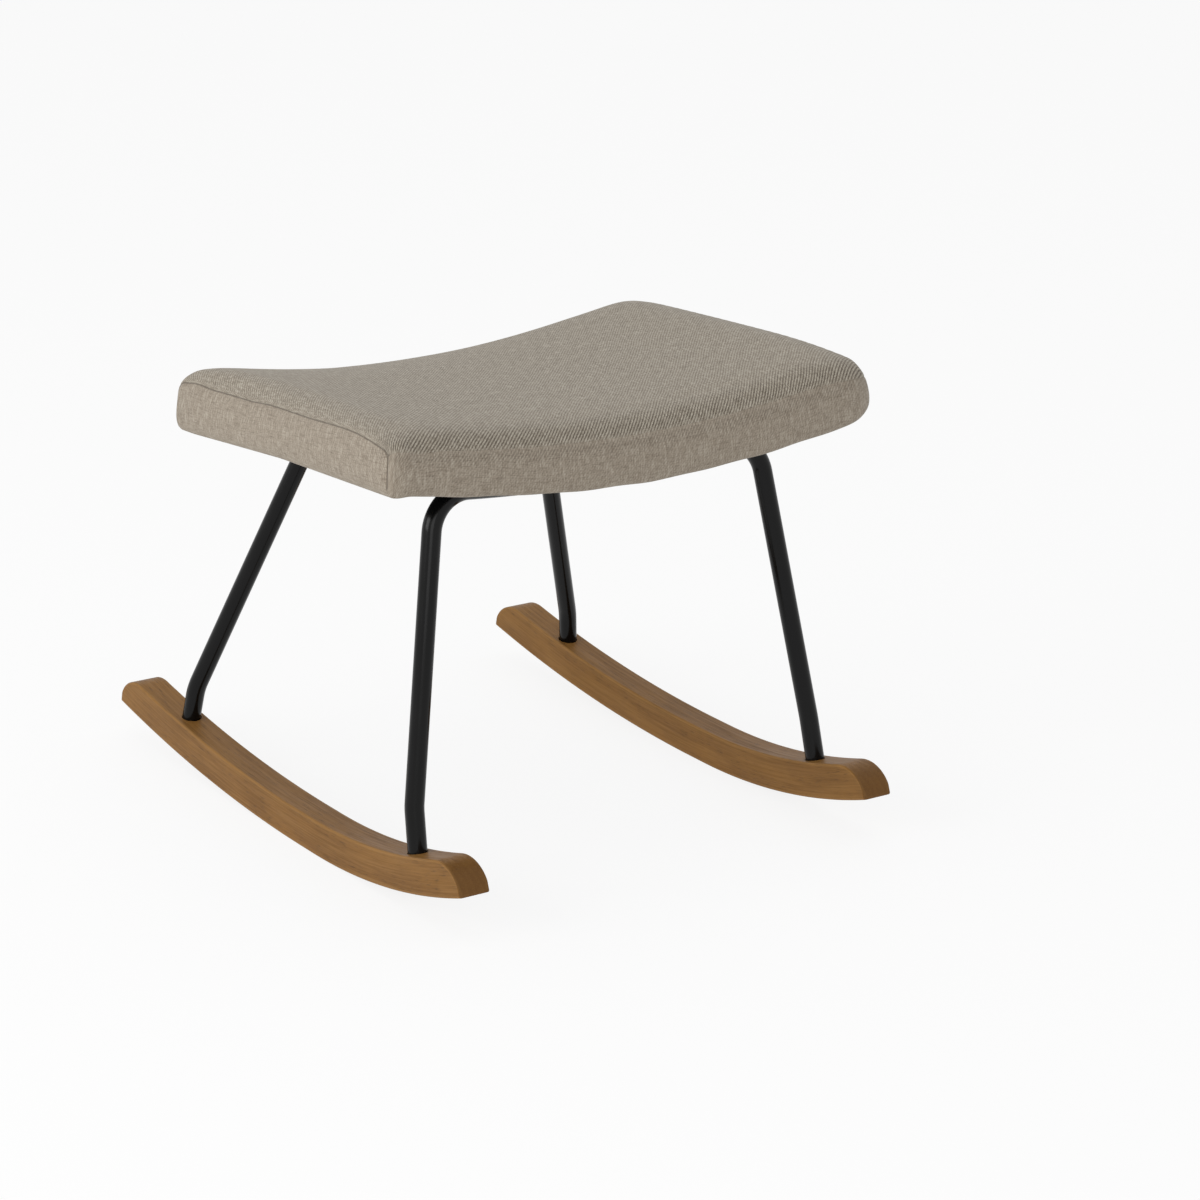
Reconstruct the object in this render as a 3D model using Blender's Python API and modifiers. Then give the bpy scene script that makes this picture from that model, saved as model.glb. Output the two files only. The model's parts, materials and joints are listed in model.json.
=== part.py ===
"""Rocking footstool: two curved hardwood runners, two bent steel frames and a padded seat that dips in the middle.

Everything is in metres. X runs across the seat, -Y is the front and +Z is up. The runners touch the floor at z = 0,
and the origin lies on the floor under the middle of the stool's outline.
"""
import math

import bmesh
import bpy
from mathutils import Matrix, Vector

# Clearance left between two pieces that touch
FIT_GAP = 0.0003

# Runners. The sole is two arcs that meet in a short flat at the low point, where the stool stands.
RUNNER_LENGTH = 0.56
RUNNER_SPACING = 0.396
RUNNER_WIDTH = 0.028
RUNNER_THICKNESS = 0.0305
LOW_POINT_Y = -0.045
LOW_POINT_FLAT = 0.02
FRONT_ROCK_RADIUS = 0.66
REAR_ROCK_RADIUS = 1.58
NOSE_LENGTH = 0.032
NOSE_LIP = 0.003
RUNNER_EDGE_RADIUS = 0.0015

# Seat, in its own axes: a shallow saddle that leans back
SEAT_WIDTH = 0.48
SEAT_DEPTH = 0.35
SEAT_THICKNESS = 0.0485
SEAT_DIP = 0.0226
SEAT_TILT = math.radians(3.5)
SEAT_CENTRE_Y = -0.049
SEAT_HEIGHT = 0.3199
TOP_CROWN = 0.0025
MIDDLE_CROWN = 0.0015
SIDE_DRAW_IN = 0.002
FRONT_ROUND = 0.023
REAR_ROUND = 0.018
UNDER_ROUND = 0.004
END_ROUND = 0.006
CLOTH_THICKNESS = 0.0012
CLOTH_TURN_UNDER = 0.024
BOARD_THICKNESS = 0.010
BOARD_CORNER = 0.035
BOARD_INSET = 0.004

# Frames: how wide each is at its upper corners, how far its crossbar lies in from the seat's edge,
# where its feet stand along the sole from the low point, how high its lower bends are over the wood, and how
# much the feet below them still spread
TUBE_DIAMETER = 0.016
TUBE_WALL = 0.0015
UPPER_BEND_RADIUS = 0.034
LOWER_BEND_RADIUS = 0.06
FRONT_WIDTH = 0.312
REAR_WIDTH = 0.226
FRONT_BAR_INSET = 0.070
REAR_BAR_INSET = 0.019
FRONT_FOOT = 0.158
REAR_FOOT = 0.227
FRONT_ANKLE = 0.036
REAR_ANKLE = 0.028
FRONT_SPLAY = math.radians(3)
REAR_SPLAY = math.radians(7)

# Joint of tube and runner
SOCKET_DEPTH = 0.016
COUNTERBORE_DEPTH = 0.007
INSERT_LENGTH = 0.018

# Screw tabs welded to the crossbars
TAB_SPACING = 0.150
TAB_WIDTH = 0.022
TAB_REACH = 0.022
TAB_THICKNESS = 0.003
TAB_DROP = 0.0008

# Six millimetre screws and what goes with them
SCREW_DIAMETER = 0.006
SCREW_HOLE = 0.0066
HEAD_DIAMETER = 0.011
HEAD_HEIGHT = 0.0035
KEY_WIDTH = 0.004
KEY_DEPTH = 0.002
WASHER_DIAMETER = 0.0125
WASHER_THICKNESS = 0.0015
NUT_FLANGE_DIAMETER = 0.017
NUT_FLANGE_THICKNESS = 0.0014
NUT_BARREL_DIAMETER = 0.008
NUT_BARREL_LENGTH = 0.007

# How finely curves are divided
TUBE_SIDES = 16
TURNED_SIDES = 20
SOLE_STEPS = 12
NOSE_STEPS = 7
BAR_STEPS = 5
UPPER_BEND_STEPS = 8
LOWER_BEND_STEPS = 3
SADDLE_STEPS = 8
END_STEPS = 2
TOP_STEPS = 7

WELD_DISTANCE = 0.00001
SHARP_ANGLE = math.radians(35)
CUTTER_MARGIN = 0.01

FRONT, REAR = "front", "rear"
SIDES = {"left": -1, "right": 1}
ENDS = {
    FRONT: {
        "way": -1,
        "width": FRONT_WIDTH,
        "inset": FRONT_BAR_INSET,
        "foot": FRONT_FOOT,
        "ankle": FRONT_ANKLE,
        "splay": FRONT_SPLAY,
    },
    REAR: {
        "way": 1,
        "width": REAR_WIDTH,
        "inset": REAR_BAR_INSET,
        "foot": REAR_FOOT,
        "ankle": REAR_ANKLE,
        "splay": REAR_SPLAY,
    },
}

MATERIALS = {
    "wood": ((0.26, 0.14, 0.06), 0.5, 0.0),
    "black_steel": ((0.012, 0.012, 0.013), 0.45, 0.0),
    "cloth": ((0.36, 0.31, 0.25), 0.9, 0.0),
    "plywood": ((0.55, 0.40, 0.24), 0.7, 0.0),
    "foam": ((0.80, 0.76, 0.62), 0.95, 0.0),
    "dust_cloth": ((0.015, 0.015, 0.017), 0.95, 0.0),
    "zinc": ((0.60, 0.60, 0.58), 0.35, 1.0),
}


def clear_scene():
    for thing in list(bpy.data.objects):
        bpy.data.objects.remove(thing, do_unlink=True)


def make_collections():
    for name in ("rocking_footstool", "cutters"):
        bpy.context.scene.collection.children.link(bpy.data.collections.new(name))


def material(name):
    found = bpy.data.materials.get(name)
    if found:
        return found
    colour, roughness, metallic = MATERIALS[name]
    made = bpy.data.materials.new(name)
    made.use_nodes = True
    shader = made.node_tree.nodes["Principled BSDF"]
    shader.inputs["Base Color"].default_value = (*colour, 1.0)
    shader.inputs["Roughness"].default_value = roughness
    shader.inputs["Metallic"].default_value = metallic
    made.diffuse_color = (*colour, 1.0)
    return made


def add_part(name, mesh, finish, parent=None, location=(0, 0, 0)):
    part = bpy.data.objects.new(name, mesh)
    bpy.data.collections["rocking_footstool"].objects.link(part)
    if not mesh.materials:
        mesh.materials.append(material(finish))
    part.parent = parent
    part.location = location
    return part


def add_cutter(name, data, parent=None):
    cutter = bpy.data.objects.new(name, data)
    bpy.data.collections["cutters"].objects.link(cutter)
    cutter.hide_render = True
    cutter.display_type = "WIRE"
    cutter.parent = parent
    return cutter


def add_axes(name, matrix, parent=None):
    axes = bpy.data.objects.new(name, None)
    axes.empty_display_size = 0.02
    axes.parent = parent
    axes.matrix_basis = matrix
    bpy.data.collections["rocking_footstool"].objects.link(axes)
    return axes


def solid_mesh(thing):
    """The object's mesh with its modifiers worked in, its caps welded on and its round sides shaded smooth."""
    bpy.context.view_layer.update()
    graph = bpy.context.evaluated_depsgraph_get()
    mesh = bpy.data.meshes.new_from_object(thing.evaluated_get(graph))
    work = bmesh.new()
    work.from_mesh(mesh)
    bmesh.ops.remove_doubles(work, verts=work.verts, dist=WELD_DISTANCE)
    bmesh.ops.recalc_face_normals(work, faces=work.faces)
    work.to_mesh(mesh)
    work.free()
    mesh.shade_smooth()
    mesh.set_sharp_from_angle(angle=SHARP_ANGLE)
    return mesh


def solid_of(helper):
    """Like solid_mesh, and the helper object is taken away."""
    mesh = solid_mesh(helper)
    bpy.data.objects.remove(helper, do_unlink=True)
    return mesh


def boolean(part, operation, other):
    cut = part.modifiers.new(f"{operation.lower()} {other.name}", "BOOLEAN")
    cut.operation = operation
    cut.object = other
    return cut


def round_edges(thing, radius):
    """Bevel on the sharp edges only, not on the shallow steps of a curved outline."""
    bevel = thing.modifiers.new("rounded edges", "BEVEL")
    bevel.width = radius
    bevel.segments = 2
    bevel.limit_method = "ANGLE"
    bevel.angle_limit = math.radians(50)


def flat_mesh(name, outline, thickness):
    """A plate of this outline, centred on its own plane, with each of its two faces in one piece."""
    curve = bpy.data.curves.new(name, "CURVE")
    curve.dimensions = "2D"
    curve.fill_mode = "BOTH"
    curve.extrude = thickness / 2
    spline = curve.splines.new("POLY")
    spline.points.add(len(outline) - 1)
    for point, (x, y) in zip(spline.points, outline):
        point.co = (x, y, 0, 1)
    spline.use_cyclic_u = True
    mesh = solid_of(add_cutter(name, curve))
    work = bmesh.new()
    work.from_mesh(mesh)
    for way in (-1, 1):
        level = [face for face in work.faces if way * face.normal.z > 0.9]
        bmesh.ops.dissolve_faces(work, faces=level)
    work.to_mesh(mesh)
    work.free()
    return mesh


def tube_mesh(name, path):
    """A tube along a path of points: the middle surface of its wall, thickened both ways and open at both ends."""
    curve = bpy.data.curves.new(name, "CURVE")
    curve.dimensions = "3D"
    curve.bevel_depth = (TUBE_DIAMETER - TUBE_WALL) / 2
    curve.bevel_resolution = (TUBE_SIDES - 4) // 2
    curve.use_fill_caps = False
    spline = curve.splines.new("POLY")
    spline.points.add(len(path) - 1)
    for point, place in zip(spline.points, path):
        point.co = (*place, 1)
    skin = add_cutter(name, solid_of(add_cutter(name, curve)))
    wall = skin.modifiers.new("wall", "SOLIDIFY")
    wall.thickness = TUBE_WALL
    wall.offset = 0
    return solid_of(skin)


def turned_mesh(name, profile, ring=False):
    """A profile of (radius, height) points, given from the top down its outer side, turned round Z."""
    mesh = bpy.data.meshes.new(name)
    edges = [(k, k + 1) for k in range(len(profile) - 1)]
    if ring:
        edges.append((len(profile) - 1, 0))
    mesh.from_pydata([(radius, 0, height) for radius, height in profile], edges, [])
    helper = add_cutter(name, mesh)
    screw = helper.modifiers.new("turn", "SCREW")
    screw.steps = TURNED_SIDES
    screw.render_steps = TURNED_SIDES
    screw.use_merge_vertices = True
    screw.merge_threshold = WELD_DISTANCE
    return solid_of(helper)


def flat_across(diameter):
    """Radius of the largest circle that clears the flats of a round bore with TUBE_SIDES sides."""
    return diameter / 2 * math.cos(math.pi / TUBE_SIDES)


def sole_length(way):
    """Distance along the sole from the low point to the front tip, for way -1, or the rear tip, for way 1."""
    radius = FRONT_ROCK_RADIUS if way < 0 else REAR_ROCK_RADIUS
    run = RUNNER_LENGTH / 2 - way * LOW_POINT_Y - LOW_POINT_FLAT / 2
    return LOW_POINT_FLAT / 2 + radius * math.asin(run / radius)


def sole_angle(distance):
    """Slope of the sole at a distance from the low point, rearwards positive."""
    if abs(distance) <= LOW_POINT_FLAT / 2:
        return 0.0
    radius = FRONT_ROCK_RADIUS if distance < 0 else REAR_ROCK_RADIUS
    return math.copysign(abs(distance) - LOW_POINT_FLAT / 2, distance) / radius


def on_runner(distance, height):
    """(y, z) of the point at a distance along the sole from the low point, and at a height square to the sole."""
    angle = sole_angle(distance)
    if angle == 0.0:
        return LOW_POINT_Y + distance, height
    radius = FRONT_ROCK_RADIUS if distance < 0 else REAR_ROCK_RADIUS
    flat = math.copysign(LOW_POINT_FLAT / 2, distance)
    y = LOW_POINT_Y + flat + (radius - height) * math.sin(angle)
    return y, radius - (radius - height) * math.cos(angle)


def sole_stations(start, end):
    """Distances from start to end, with the flat at the low point kept as one step."""
    flat = LOW_POINT_FLAT / 2
    front = [start + (-flat - start) * k / SOLE_STEPS for k in range(SOLE_STEPS + 1)]
    rear = [flat + (end - flat) * k / SOLE_STEPS for k in range(SOLE_STEPS + 1)]
    return front + rear


def nose(way):
    """Rounded end of a runner, from its tip at the sole up to the top edge."""
    tip = way * sole_length(way)
    points = []
    for k in range(NOSE_STEPS + 1):
        angle = math.pi / 2 * k / NOSE_STEPS
        back = NOSE_LENGTH * (1 - math.cos(angle))
        rise = (RUNNER_THICKNESS - NOSE_LIP) * math.sin(angle)
        points.append(on_runner(tip - way * back, NOSE_LIP + rise))
    return points


def runner_outline():
    front, rear = -sole_length(-1), sole_length(1)
    sole = [on_runner(s, 0) for s in sole_stations(front, rear)]
    top = [on_runner(s, RUNNER_THICKNESS) for s in sole_stations(front + NOSE_LENGTH, rear - NOSE_LENGTH)]
    return sole + nose(1) + top[-2:0:-1] + list(reversed(nose(-1)))


def runner_cutter_mesh():
    """Socket for the tube from above, screw hole, and counterbore from below, in one turned shape."""
    socket = TUBE_DIAMETER / 2 + FIT_GAP
    counterbore = WASHER_DIAMETER / 2 + 2 * FIT_GAP
    floor = RUNNER_THICKNESS - SOCKET_DEPTH
    profile = [
        (0, RUNNER_THICKNESS + CUTTER_MARGIN),
        (socket, RUNNER_THICKNESS + CUTTER_MARGIN),
        (socket, floor),
        (SCREW_HOLE / 2, floor),
        (SCREW_HOLE / 2, COUNTERBORE_DEPTH),
        (counterbore, COUNTERBORE_DEPTH),
        (counterbore, -CUTTER_MARGIN),
        (0, -CUTTER_MARGIN),
    ]
    return turned_mesh("foot_cutter", profile)


def foot_matrix(side, end):
    """Axes of one foot: origin near the sole, Z up the foot, which spreads about the middle of its socket."""
    distance = ENDS[end]["way"] * ENDS[end]["foot"]
    y, z = on_runner(distance, 0)
    place = Matrix.Translation((SIDES[side] * RUNNER_SPACING / 2, y, z))
    place @= Matrix.Rotation(sole_angle(distance), 4, "X")
    pivot = Matrix.Translation((0, 0, RUNNER_THICKNESS - SOCKET_DEPTH / 2))
    return place @ pivot @ Matrix.Rotation(-SIDES[side] * ENDS[end]["splay"], 4, "Y") @ pivot.inverted()


def make_runners(feet):
    outline = runner_outline()
    cutter_mesh = runner_cutter_mesh()
    for side, way in SIDES.items():
        runner = add_part(f"runner_{side}", flat_mesh("runner", outline, RUNNER_WIDTH), "wood")
        runner.location = (way * RUNNER_SPACING / 2, 0, 0)
        runner.rotation_euler = (math.pi / 2, 0, math.pi / 2)
        round_edges(runner, RUNNER_EDGE_RADIUS)
        for end in ENDS:
            cutter = add_cutter(f"foot_cutter_{end}_{side}", cutter_mesh, feet[end, side])
            boolean(runner, "DIFFERENCE", cutter)


def dip(x):
    """Height of the saddle over its middle."""
    return SEAT_DIP * (2 * x / SEAT_WIDTH) ** 2


def dip_slope(x):
    return 8 * SEAT_DIP * x / SEAT_WIDTH**2


def seat_matrix():
    return Matrix.Translation((0, SEAT_CENTRE_Y, SEAT_HEIGHT)) @ Matrix.Rotation(-SEAT_TILT, 4, "X")


def square_up(mesh):
    """Lean the seat's ends in, as padding stands square to the curved board. The underside keeps its width."""
    for vertex in mesh.vertices:
        over_board = vertex.co.z - dip(vertex.co.x)
        vertex.co.x -= dip_slope(vertex.co.x) * over_board
    return mesh


def under_seat(x, y):
    """Axes at a point of the seat's underside, in the seat's own axes, with Z square to the saddle."""
    return Matrix.Translation((x, y, dip(x))) @ Matrix.Rotation(-math.atan(dip_slope(x)), 4, "Y")


def bar_y(end):
    return ENDS[end]["way"] * (SEAT_DEPTH / 2 - ENDS[end]["inset"])


def rounded_corner(before, corner, after, radius, steps):
    """Points of the arc that rounds the corner between two straight runs."""
    back = (before - corner).normalized()
    on = (after - corner).normalized()
    half = back.angle(on) / 2
    centre = corner + (back + on).normalized() * (radius / math.sin(half))
    start = corner + back * (radius / math.tan(half)) - centre
    end = corner + on * (radius / math.tan(half)) - centre
    axis = start.cross(end).normalized()
    sweep = start.angle(end)
    return [centre + Matrix.Rotation(sweep * k / steps, 3, axis) @ start for k in range(steps + 1)]


def frame_path(end, foot):
    """Centre line of one bent tube, from its left foot up, across under the seat, and down to its right foot."""
    seat = seat_matrix()
    y = bar_y(end)
    drop = TUBE_DIAMETER / 2 + FIT_GAP
    last_x = ENDS[end]["width"] / 2 - UPPER_BEND_RADIUS

    def bar_point(x):
        return seat @ under_seat(x, y) @ Vector((0, 0, -drop))

    bar_end = bar_point(last_x)
    along = (seat.to_3x3() @ Vector((1, 0, dip_slope(last_x)))) * UPPER_BEND_RADIUS
    corner = bar_end + along
    ankle = foot @ Vector((0, 0, RUNNER_THICKNESS + ENDS[end]["ankle"]))
    tip = foot @ Vector((0, 0, RUNNER_THICKNESS - SOCKET_DEPTH + FIT_GAP))
    right = [bar_point(last_x * k / BAR_STEPS) for k in range(1, BAR_STEPS + 1)]
    right += rounded_corner(bar_end, corner, ankle, UPPER_BEND_RADIUS, UPPER_BEND_STEPS)
    right += rounded_corner(corner, ankle, tip, LOWER_BEND_RADIUS, LOWER_BEND_STEPS)
    right.append(tip)
    left = [Vector((-point.x, point.y, point.z)) for point in reversed(right)]
    return left + [bar_point(0)] + right


def tab_outline(way):
    """A plate with a round end about the screw hole, whose other end bites into the wall of the tube."""
    radius = TAB_WIDTH / 2
    bite = TAB_REACH - TUBE_DIAMETER / 4
    arc = [math.pi * k / UPPER_BEND_STEPS for k in range(UPPER_BEND_STEPS + 1)]
    points = [(radius * math.cos(angle), -way * radius * math.sin(angle)) for angle in arc]
    return points + [(-radius, way * bite), (radius, way * bite)]


def screw_y(end):
    return bar_y(end) - ENDS[end]["way"] * TAB_REACH


def make_frame(end, foot, screw_axes):
    frame = add_part(f"{end}_frame", tube_mesh("tube", frame_path(end, foot)), "black_steel")
    tab_mesh = flat_mesh("tab", tab_outline(ENDS[end]["way"]), TAB_THICKNESS)
    for side in SIDES:
        tab = add_cutter(f"tab_{end}_{side}", tab_mesh, screw_axes[end, side])
        tab.location = (0, 0, -TAB_DROP - TAB_THICKNESS / 2)
        boolean(frame, "UNION", tab)
    return frame


def saddle_stations(inset=0.0):
    """Where the seat's surfaces are divided: (x, how far the padding has fallen away there in the end rounding)."""
    straight = SEAT_WIDTH / 2 - END_ROUND
    radius = END_ROUND - inset
    last_angle = math.asin(1 - (CLOTH_THICKNESS + FIT_GAP) / END_ROUND)
    angles = [last_angle * k / END_STEPS for k in range(1, END_STEPS + 1)]
    middle = [(straight * k / SADDLE_STEPS, 0.0) for k in range(-SADDLE_STEPS, SADDLE_STEPS + 1)]
    right = [(straight + radius * math.sin(a), radius * (1 - math.cos(a))) for a in angles]
    return [(-x, drop) for x, drop in reversed(right)] + middle + right


def quarter(centre_y, centre_z, radius, first, steps):
    """Points of a quarter circle in the section, from an angle on, anticlockwise."""
    angles = [first + math.pi / 2 * k / steps for k in range(steps + 1)]
    return [(centre_y + radius * math.cos(a), centre_z + radius * math.sin(a)) for a in angles]


def pad_section(x, drop, inset, base, under_round=0.0):
    """The seat cut square across at x, as (y, z) points from the rear bottom, over the top, to the front bottom."""
    toward_middle = 1 - (2 * x / SEAT_WIDTH) ** 2
    half = SEAT_DEPTH / 2 - SIDE_DRAW_IN * toward_middle - drop - inset
    bottom = dip(x) + base
    top = dip(x) + SEAT_THICKNESS + MIDDLE_CROWN * toward_middle - drop - inset
    rear, front = REAR_ROUND - inset, FRONT_ROUND - inset
    points = [(half, bottom)]
    if under_round:
        points = quarter(half - under_round, bottom + under_round, under_round, -math.pi / 2, 3)
    points += quarter(half - rear, top - rear, rear, 0, 3)
    start, end = half - rear, front - half
    for k in range(1, TOP_STEPS):
        share = k / TOP_STEPS
        points.append((start + (end - start) * share, top + TOP_CROWN * 4 * share * (1 - share)))
    points += quarter(front - half, top - front, front, math.pi / 2, 4)
    if under_round:
        points += quarter(under_round - half, bottom + under_round, under_round, math.pi, 3)
    else:
        points.append((-half, bottom))
    return points


def lofted_mesh(name, sections, closed=False):
    """A surface through a row of like sections. A closed one is a solid with flat ends."""
    if closed:
        sections = [(x, points + points[:1]) for x, points in sections]
    columns, rows = len(sections) - 1, len(sections[0][1]) - 1
    work = bmesh.new()
    bmesh.ops.create_grid(work, x_segments=columns, y_segments=rows, size=0.5)
    for vertex in work.verts:
        x, points = sections[round((vertex.co.x + 0.5) * columns)]
        y, z = points[round((vertex.co.y + 0.5) * rows)]
        vertex.co = (x, y, z)
    if closed:
        bmesh.ops.remove_doubles(work, verts=work.verts, dist=WELD_DISTANCE)
        bmesh.ops.holes_fill(work, edges=[edge for edge in work.edges if edge.is_boundary])
    bmesh.ops.recalc_face_normals(work, faces=work.faces)
    mesh = bpy.data.meshes.new(name)
    work.to_mesh(mesh)
    work.free()
    mesh.shade_smooth()
    mesh.set_sharp_from_angle(angle=SHARP_ANGLE)
    return mesh


def press_to_saddle(mesh):
    """Bend a flat plate to the saddle, in the same steps as the padding over it."""
    work = bmesh.new()
    work.from_mesh(mesh)
    for x, _ in saddle_stations():
        everything = work.verts[:] + work.edges[:] + work.faces[:]
        bmesh.ops.bisect_plane(work, geom=everything, dist=WELD_DISTANCE, plane_co=(x, 0, 0), plane_no=(1, 0, 0))
    for vertex in work.verts:
        vertex.co.z += dip(vertex.co.x)
    work.to_mesh(mesh)
    work.free()
    return mesh


def rounded_rectangle(half_x, half_y, radius, steps=4):
    points = []
    for corner in range(4):
        first = math.pi / 2 * corner
        sign_x = 1 if corner in (0, 3) else -1
        sign_y = 1 if corner in (0, 1) else -1
        centre_x, centre_y = sign_x * (half_x - radius), sign_y * (half_y - radius)
        points += quarter(centre_x, centre_y, radius, first, steps)
    return points


def pressed_plate(name, outline, bottom, thickness, edge_radius=0.0):
    """A plate of this outline with its underside at the height bottom, bent to the saddle."""
    mesh = flat_mesh(name, outline, thickness)
    if edge_radius:
        blank = add_cutter(name, mesh)
        round_edges(blank, edge_radius)
        mesh = solid_of(blank)
    mesh.transform(Matrix.Translation((0, 0, bottom + thickness / 2)))
    return press_to_saddle(mesh)


def board_bottom():
    return CLOTH_THICKNESS + FIT_GAP


def board_top():
    return board_bottom() + BOARD_THICKNESS


def make_seat_board(seat, cutters):
    half_x = SEAT_WIDTH / 2 - CLOTH_THICKNESS - BOARD_INSET
    half_y = SEAT_DEPTH / 2 - SIDE_DRAW_IN - CLOTH_THICKNESS - BOARD_INSET
    outline = rounded_rectangle(half_x, half_y, BOARD_CORNER)
    edge_radius = UNDER_ROUND - CLOTH_THICKNESS - FIT_GAP
    mesh = pressed_plate("seat_board", outline, board_bottom(), BOARD_THICKNESS, edge_radius)
    board = add_part("seat_board", square_up(mesh), "plywood", seat)
    for cutter in cutters:
        boolean(board, "DIFFERENCE", cutter)


def make_foam_pad(seat):
    inset = CLOTH_THICKNESS + FIT_GAP
    base = board_top() + FIT_GAP
    sections = [(x, pad_section(x, drop, inset, base)) for x, drop in saddle_stations(inset)]
    mesh = lofted_mesh("foam_pad", sections, closed=True)
    add_part("foam_pad", square_up(mesh), "foam", seat)


def make_main_cover(seat):
    """Cloth over the top, front and back, turned under the board along both long edges."""
    middle = CLOTH_THICKNESS / 2
    turn = UNDER_ROUND - middle
    sections = []
    for x, drop in saddle_stations(middle):
        points = pad_section(x, drop, middle, middle, turn)
        inner = CLOTH_TURN_UNDER - middle
        rear = (points[0][0] + turn - inner, points[0][1])
        front = (points[-1][0] - turn + inner, points[-1][1])
        sections.append((x, [rear] + points + [front]))
    sheet = add_cutter("cover_sheet", lofted_mesh("cover_main", sections))
    cloth = sheet.modifiers.new("cloth", "SOLIDIFY")
    cloth.thickness = CLOTH_THICKNESS
    cloth.offset = 0
    cloth.use_even_offset = True
    add_part("cover_main", square_up(solid_of(sheet)), "cloth", seat)


def make_end_cover(seat, side):
    """Sewn end panel with its own turn under the board."""
    way = SIDES[side]
    seam_x, drop = saddle_stations()[-1]
    outline = pad_section(seam_x, drop, 0, 0, UNDER_ROUND)
    upright = Matrix.Translation((way * (SEAT_WIDTH / 2 - CLOTH_THICKNESS / 2), 0, 0))
    upright @= Matrix.Rotation(math.pi / 2, 4, "Z") @ Matrix.Rotation(math.pi / 2, 4, "X")
    panel_mesh = flat_mesh("cover_end", outline, CLOTH_THICKNESS)
    panel_mesh.transform(upright)
    panel = add_cutter(f"end_panel_{side}", panel_mesh, seat)
    half_y = SEAT_DEPTH / 2 - SIDE_DRAW_IN - drop - CLOTH_TURN_UNDER - FIT_GAP
    outer, inner = SEAT_WIDTH / 2 - CLOTH_THICKNESS / 2, SEAT_WIDTH / 2 - CLOTH_TURN_UNDER
    turn_outline = [(way * inner, -half_y), (way * outer, -half_y), (way * outer, half_y), (way * inner, half_y)]
    turn = add_cutter(f"end_turn_{side}", pressed_plate("end_turn", turn_outline, 0, CLOTH_THICKNESS), seat)
    boolean(panel, "UNION", turn)
    add_part(f"cover_end_{side}", square_up(solid_of(panel)), "cloth", seat)


def make_dust_cover(seat, cutters):
    half_x = SEAT_WIDTH / 2 - CLOTH_TURN_UNDER - FIT_GAP
    half_y = SEAT_DEPTH / 2 - SIDE_DRAW_IN - CLOTH_TURN_UNDER - FIT_GAP
    outline = [(-half_x, -half_y), (half_x, -half_y), (half_x, half_y), (-half_x, half_y)]
    mesh = pressed_plate("dust_cover", outline, 0, CLOTH_THICKNESS)
    dust = add_part("dust_cover", square_up(mesh), "dust_cloth", seat)
    for cutter in cutters:
        boolean(dust, "DIFFERENCE", cutter)


def screw_cutter_mesh():
    """Screw hole through tab and dust cover, barrel hole through the board, and the flange's recess on top."""
    recess = NUT_FLANGE_DIAMETER / 2 + FIT_GAP
    barrel = NUT_BARREL_DIAMETER / 2 + FIT_GAP
    shoulder = board_top() - NUT_FLANGE_THICKNESS - FIT_GAP
    under_board = CLOTH_THICKNESS + FIT_GAP / 2
    profile = [
        (0, board_top() + CUTTER_MARGIN),
        (recess, board_top() + CUTTER_MARGIN),
        (recess, shoulder),
        (barrel, shoulder),
        (barrel, under_board),
        (SCREW_HOLE / 2, under_board),
        (SCREW_HOLE / 2, -CUTTER_MARGIN),
        (0, -CUTTER_MARGIN),
    ]
    return turned_mesh("screw_cutter", profile)


def bolt_mesh(name, reach):
    """Cap screw whose head has its top at height zero: the shank points up, and the key socket opens downwards."""
    head, shank = HEAD_DIAMETER / 2, SCREW_DIAMETER / 2
    ease = shank / 6
    profile = [
        (0, reach),
        (shank - ease, reach),
        (shank, reach - ease),
        (shank, 0),
        (head, 0),
        (head, ease - HEAD_HEIGHT),
        (head - ease, -HEAD_HEIGHT),
        (0, -HEAD_HEIGHT),
    ]
    bolt = add_cutter(name, turned_mesh(name, profile))
    key = bmesh.new()
    corner_radius = KEY_WIDTH / math.sqrt(3)
    bmesh.ops.create_cone(
        key, cap_ends=True, segments=6, radius1=corner_radius, radius2=corner_radius, depth=2 * KEY_DEPTH
    )
    key_mesh = bpy.data.meshes.new("key")
    key.to_mesh(key_mesh)
    key.free()
    cutter = add_cutter("key", key_mesh)
    cutter.location = (0, 0, -HEAD_HEIGHT)
    boolean(bolt, "DIFFERENCE", cutter)
    mesh = solid_of(bolt)
    bpy.data.objects.remove(cutter, do_unlink=True)
    return mesh


def washer_mesh():
    outer, inner = WASHER_DIAMETER / 2, SCREW_HOLE / 2
    profile = [(inner, WASHER_THICKNESS), (outer, WASHER_THICKNESS), (outer, 0), (inner, 0)]
    return turned_mesh("washer", profile, ring=True)


def tee_nut_mesh():
    """Flange at the top, barrel below, threaded bore right through."""
    flange, barrel, bore = NUT_FLANGE_DIAMETER / 2, NUT_BARREL_DIAMETER / 2, SCREW_HOLE / 2
    profile = [
        (bore, 0),
        (flange, 0),
        (flange, -NUT_FLANGE_THICKNESS),
        (barrel, -NUT_FLANGE_THICKNESS),
        (barrel, -NUT_FLANGE_THICKNESS - NUT_BARREL_LENGTH),
        (bore, -NUT_FLANGE_THICKNESS - NUT_BARREL_LENGTH),
    ]
    return turned_mesh("tee_nut", profile, ring=True)


def insert_mesh():
    """Threaded plug in the end of a tube, with an eased upper edge."""
    outer = flat_across(TUBE_DIAMETER - 2 * TUBE_WALL) - FIT_GAP
    bore = SCREW_HOLE / 2
    ease = SCREW_DIAMETER / 8
    profile = [
        (bore, INSERT_LENGTH),
        (outer - ease, INSERT_LENGTH),
        (outer, INSERT_LENGTH - ease),
        (outer, 0),
        (bore, 0),
    ]
    return turned_mesh("insert", profile, ring=True)


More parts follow.
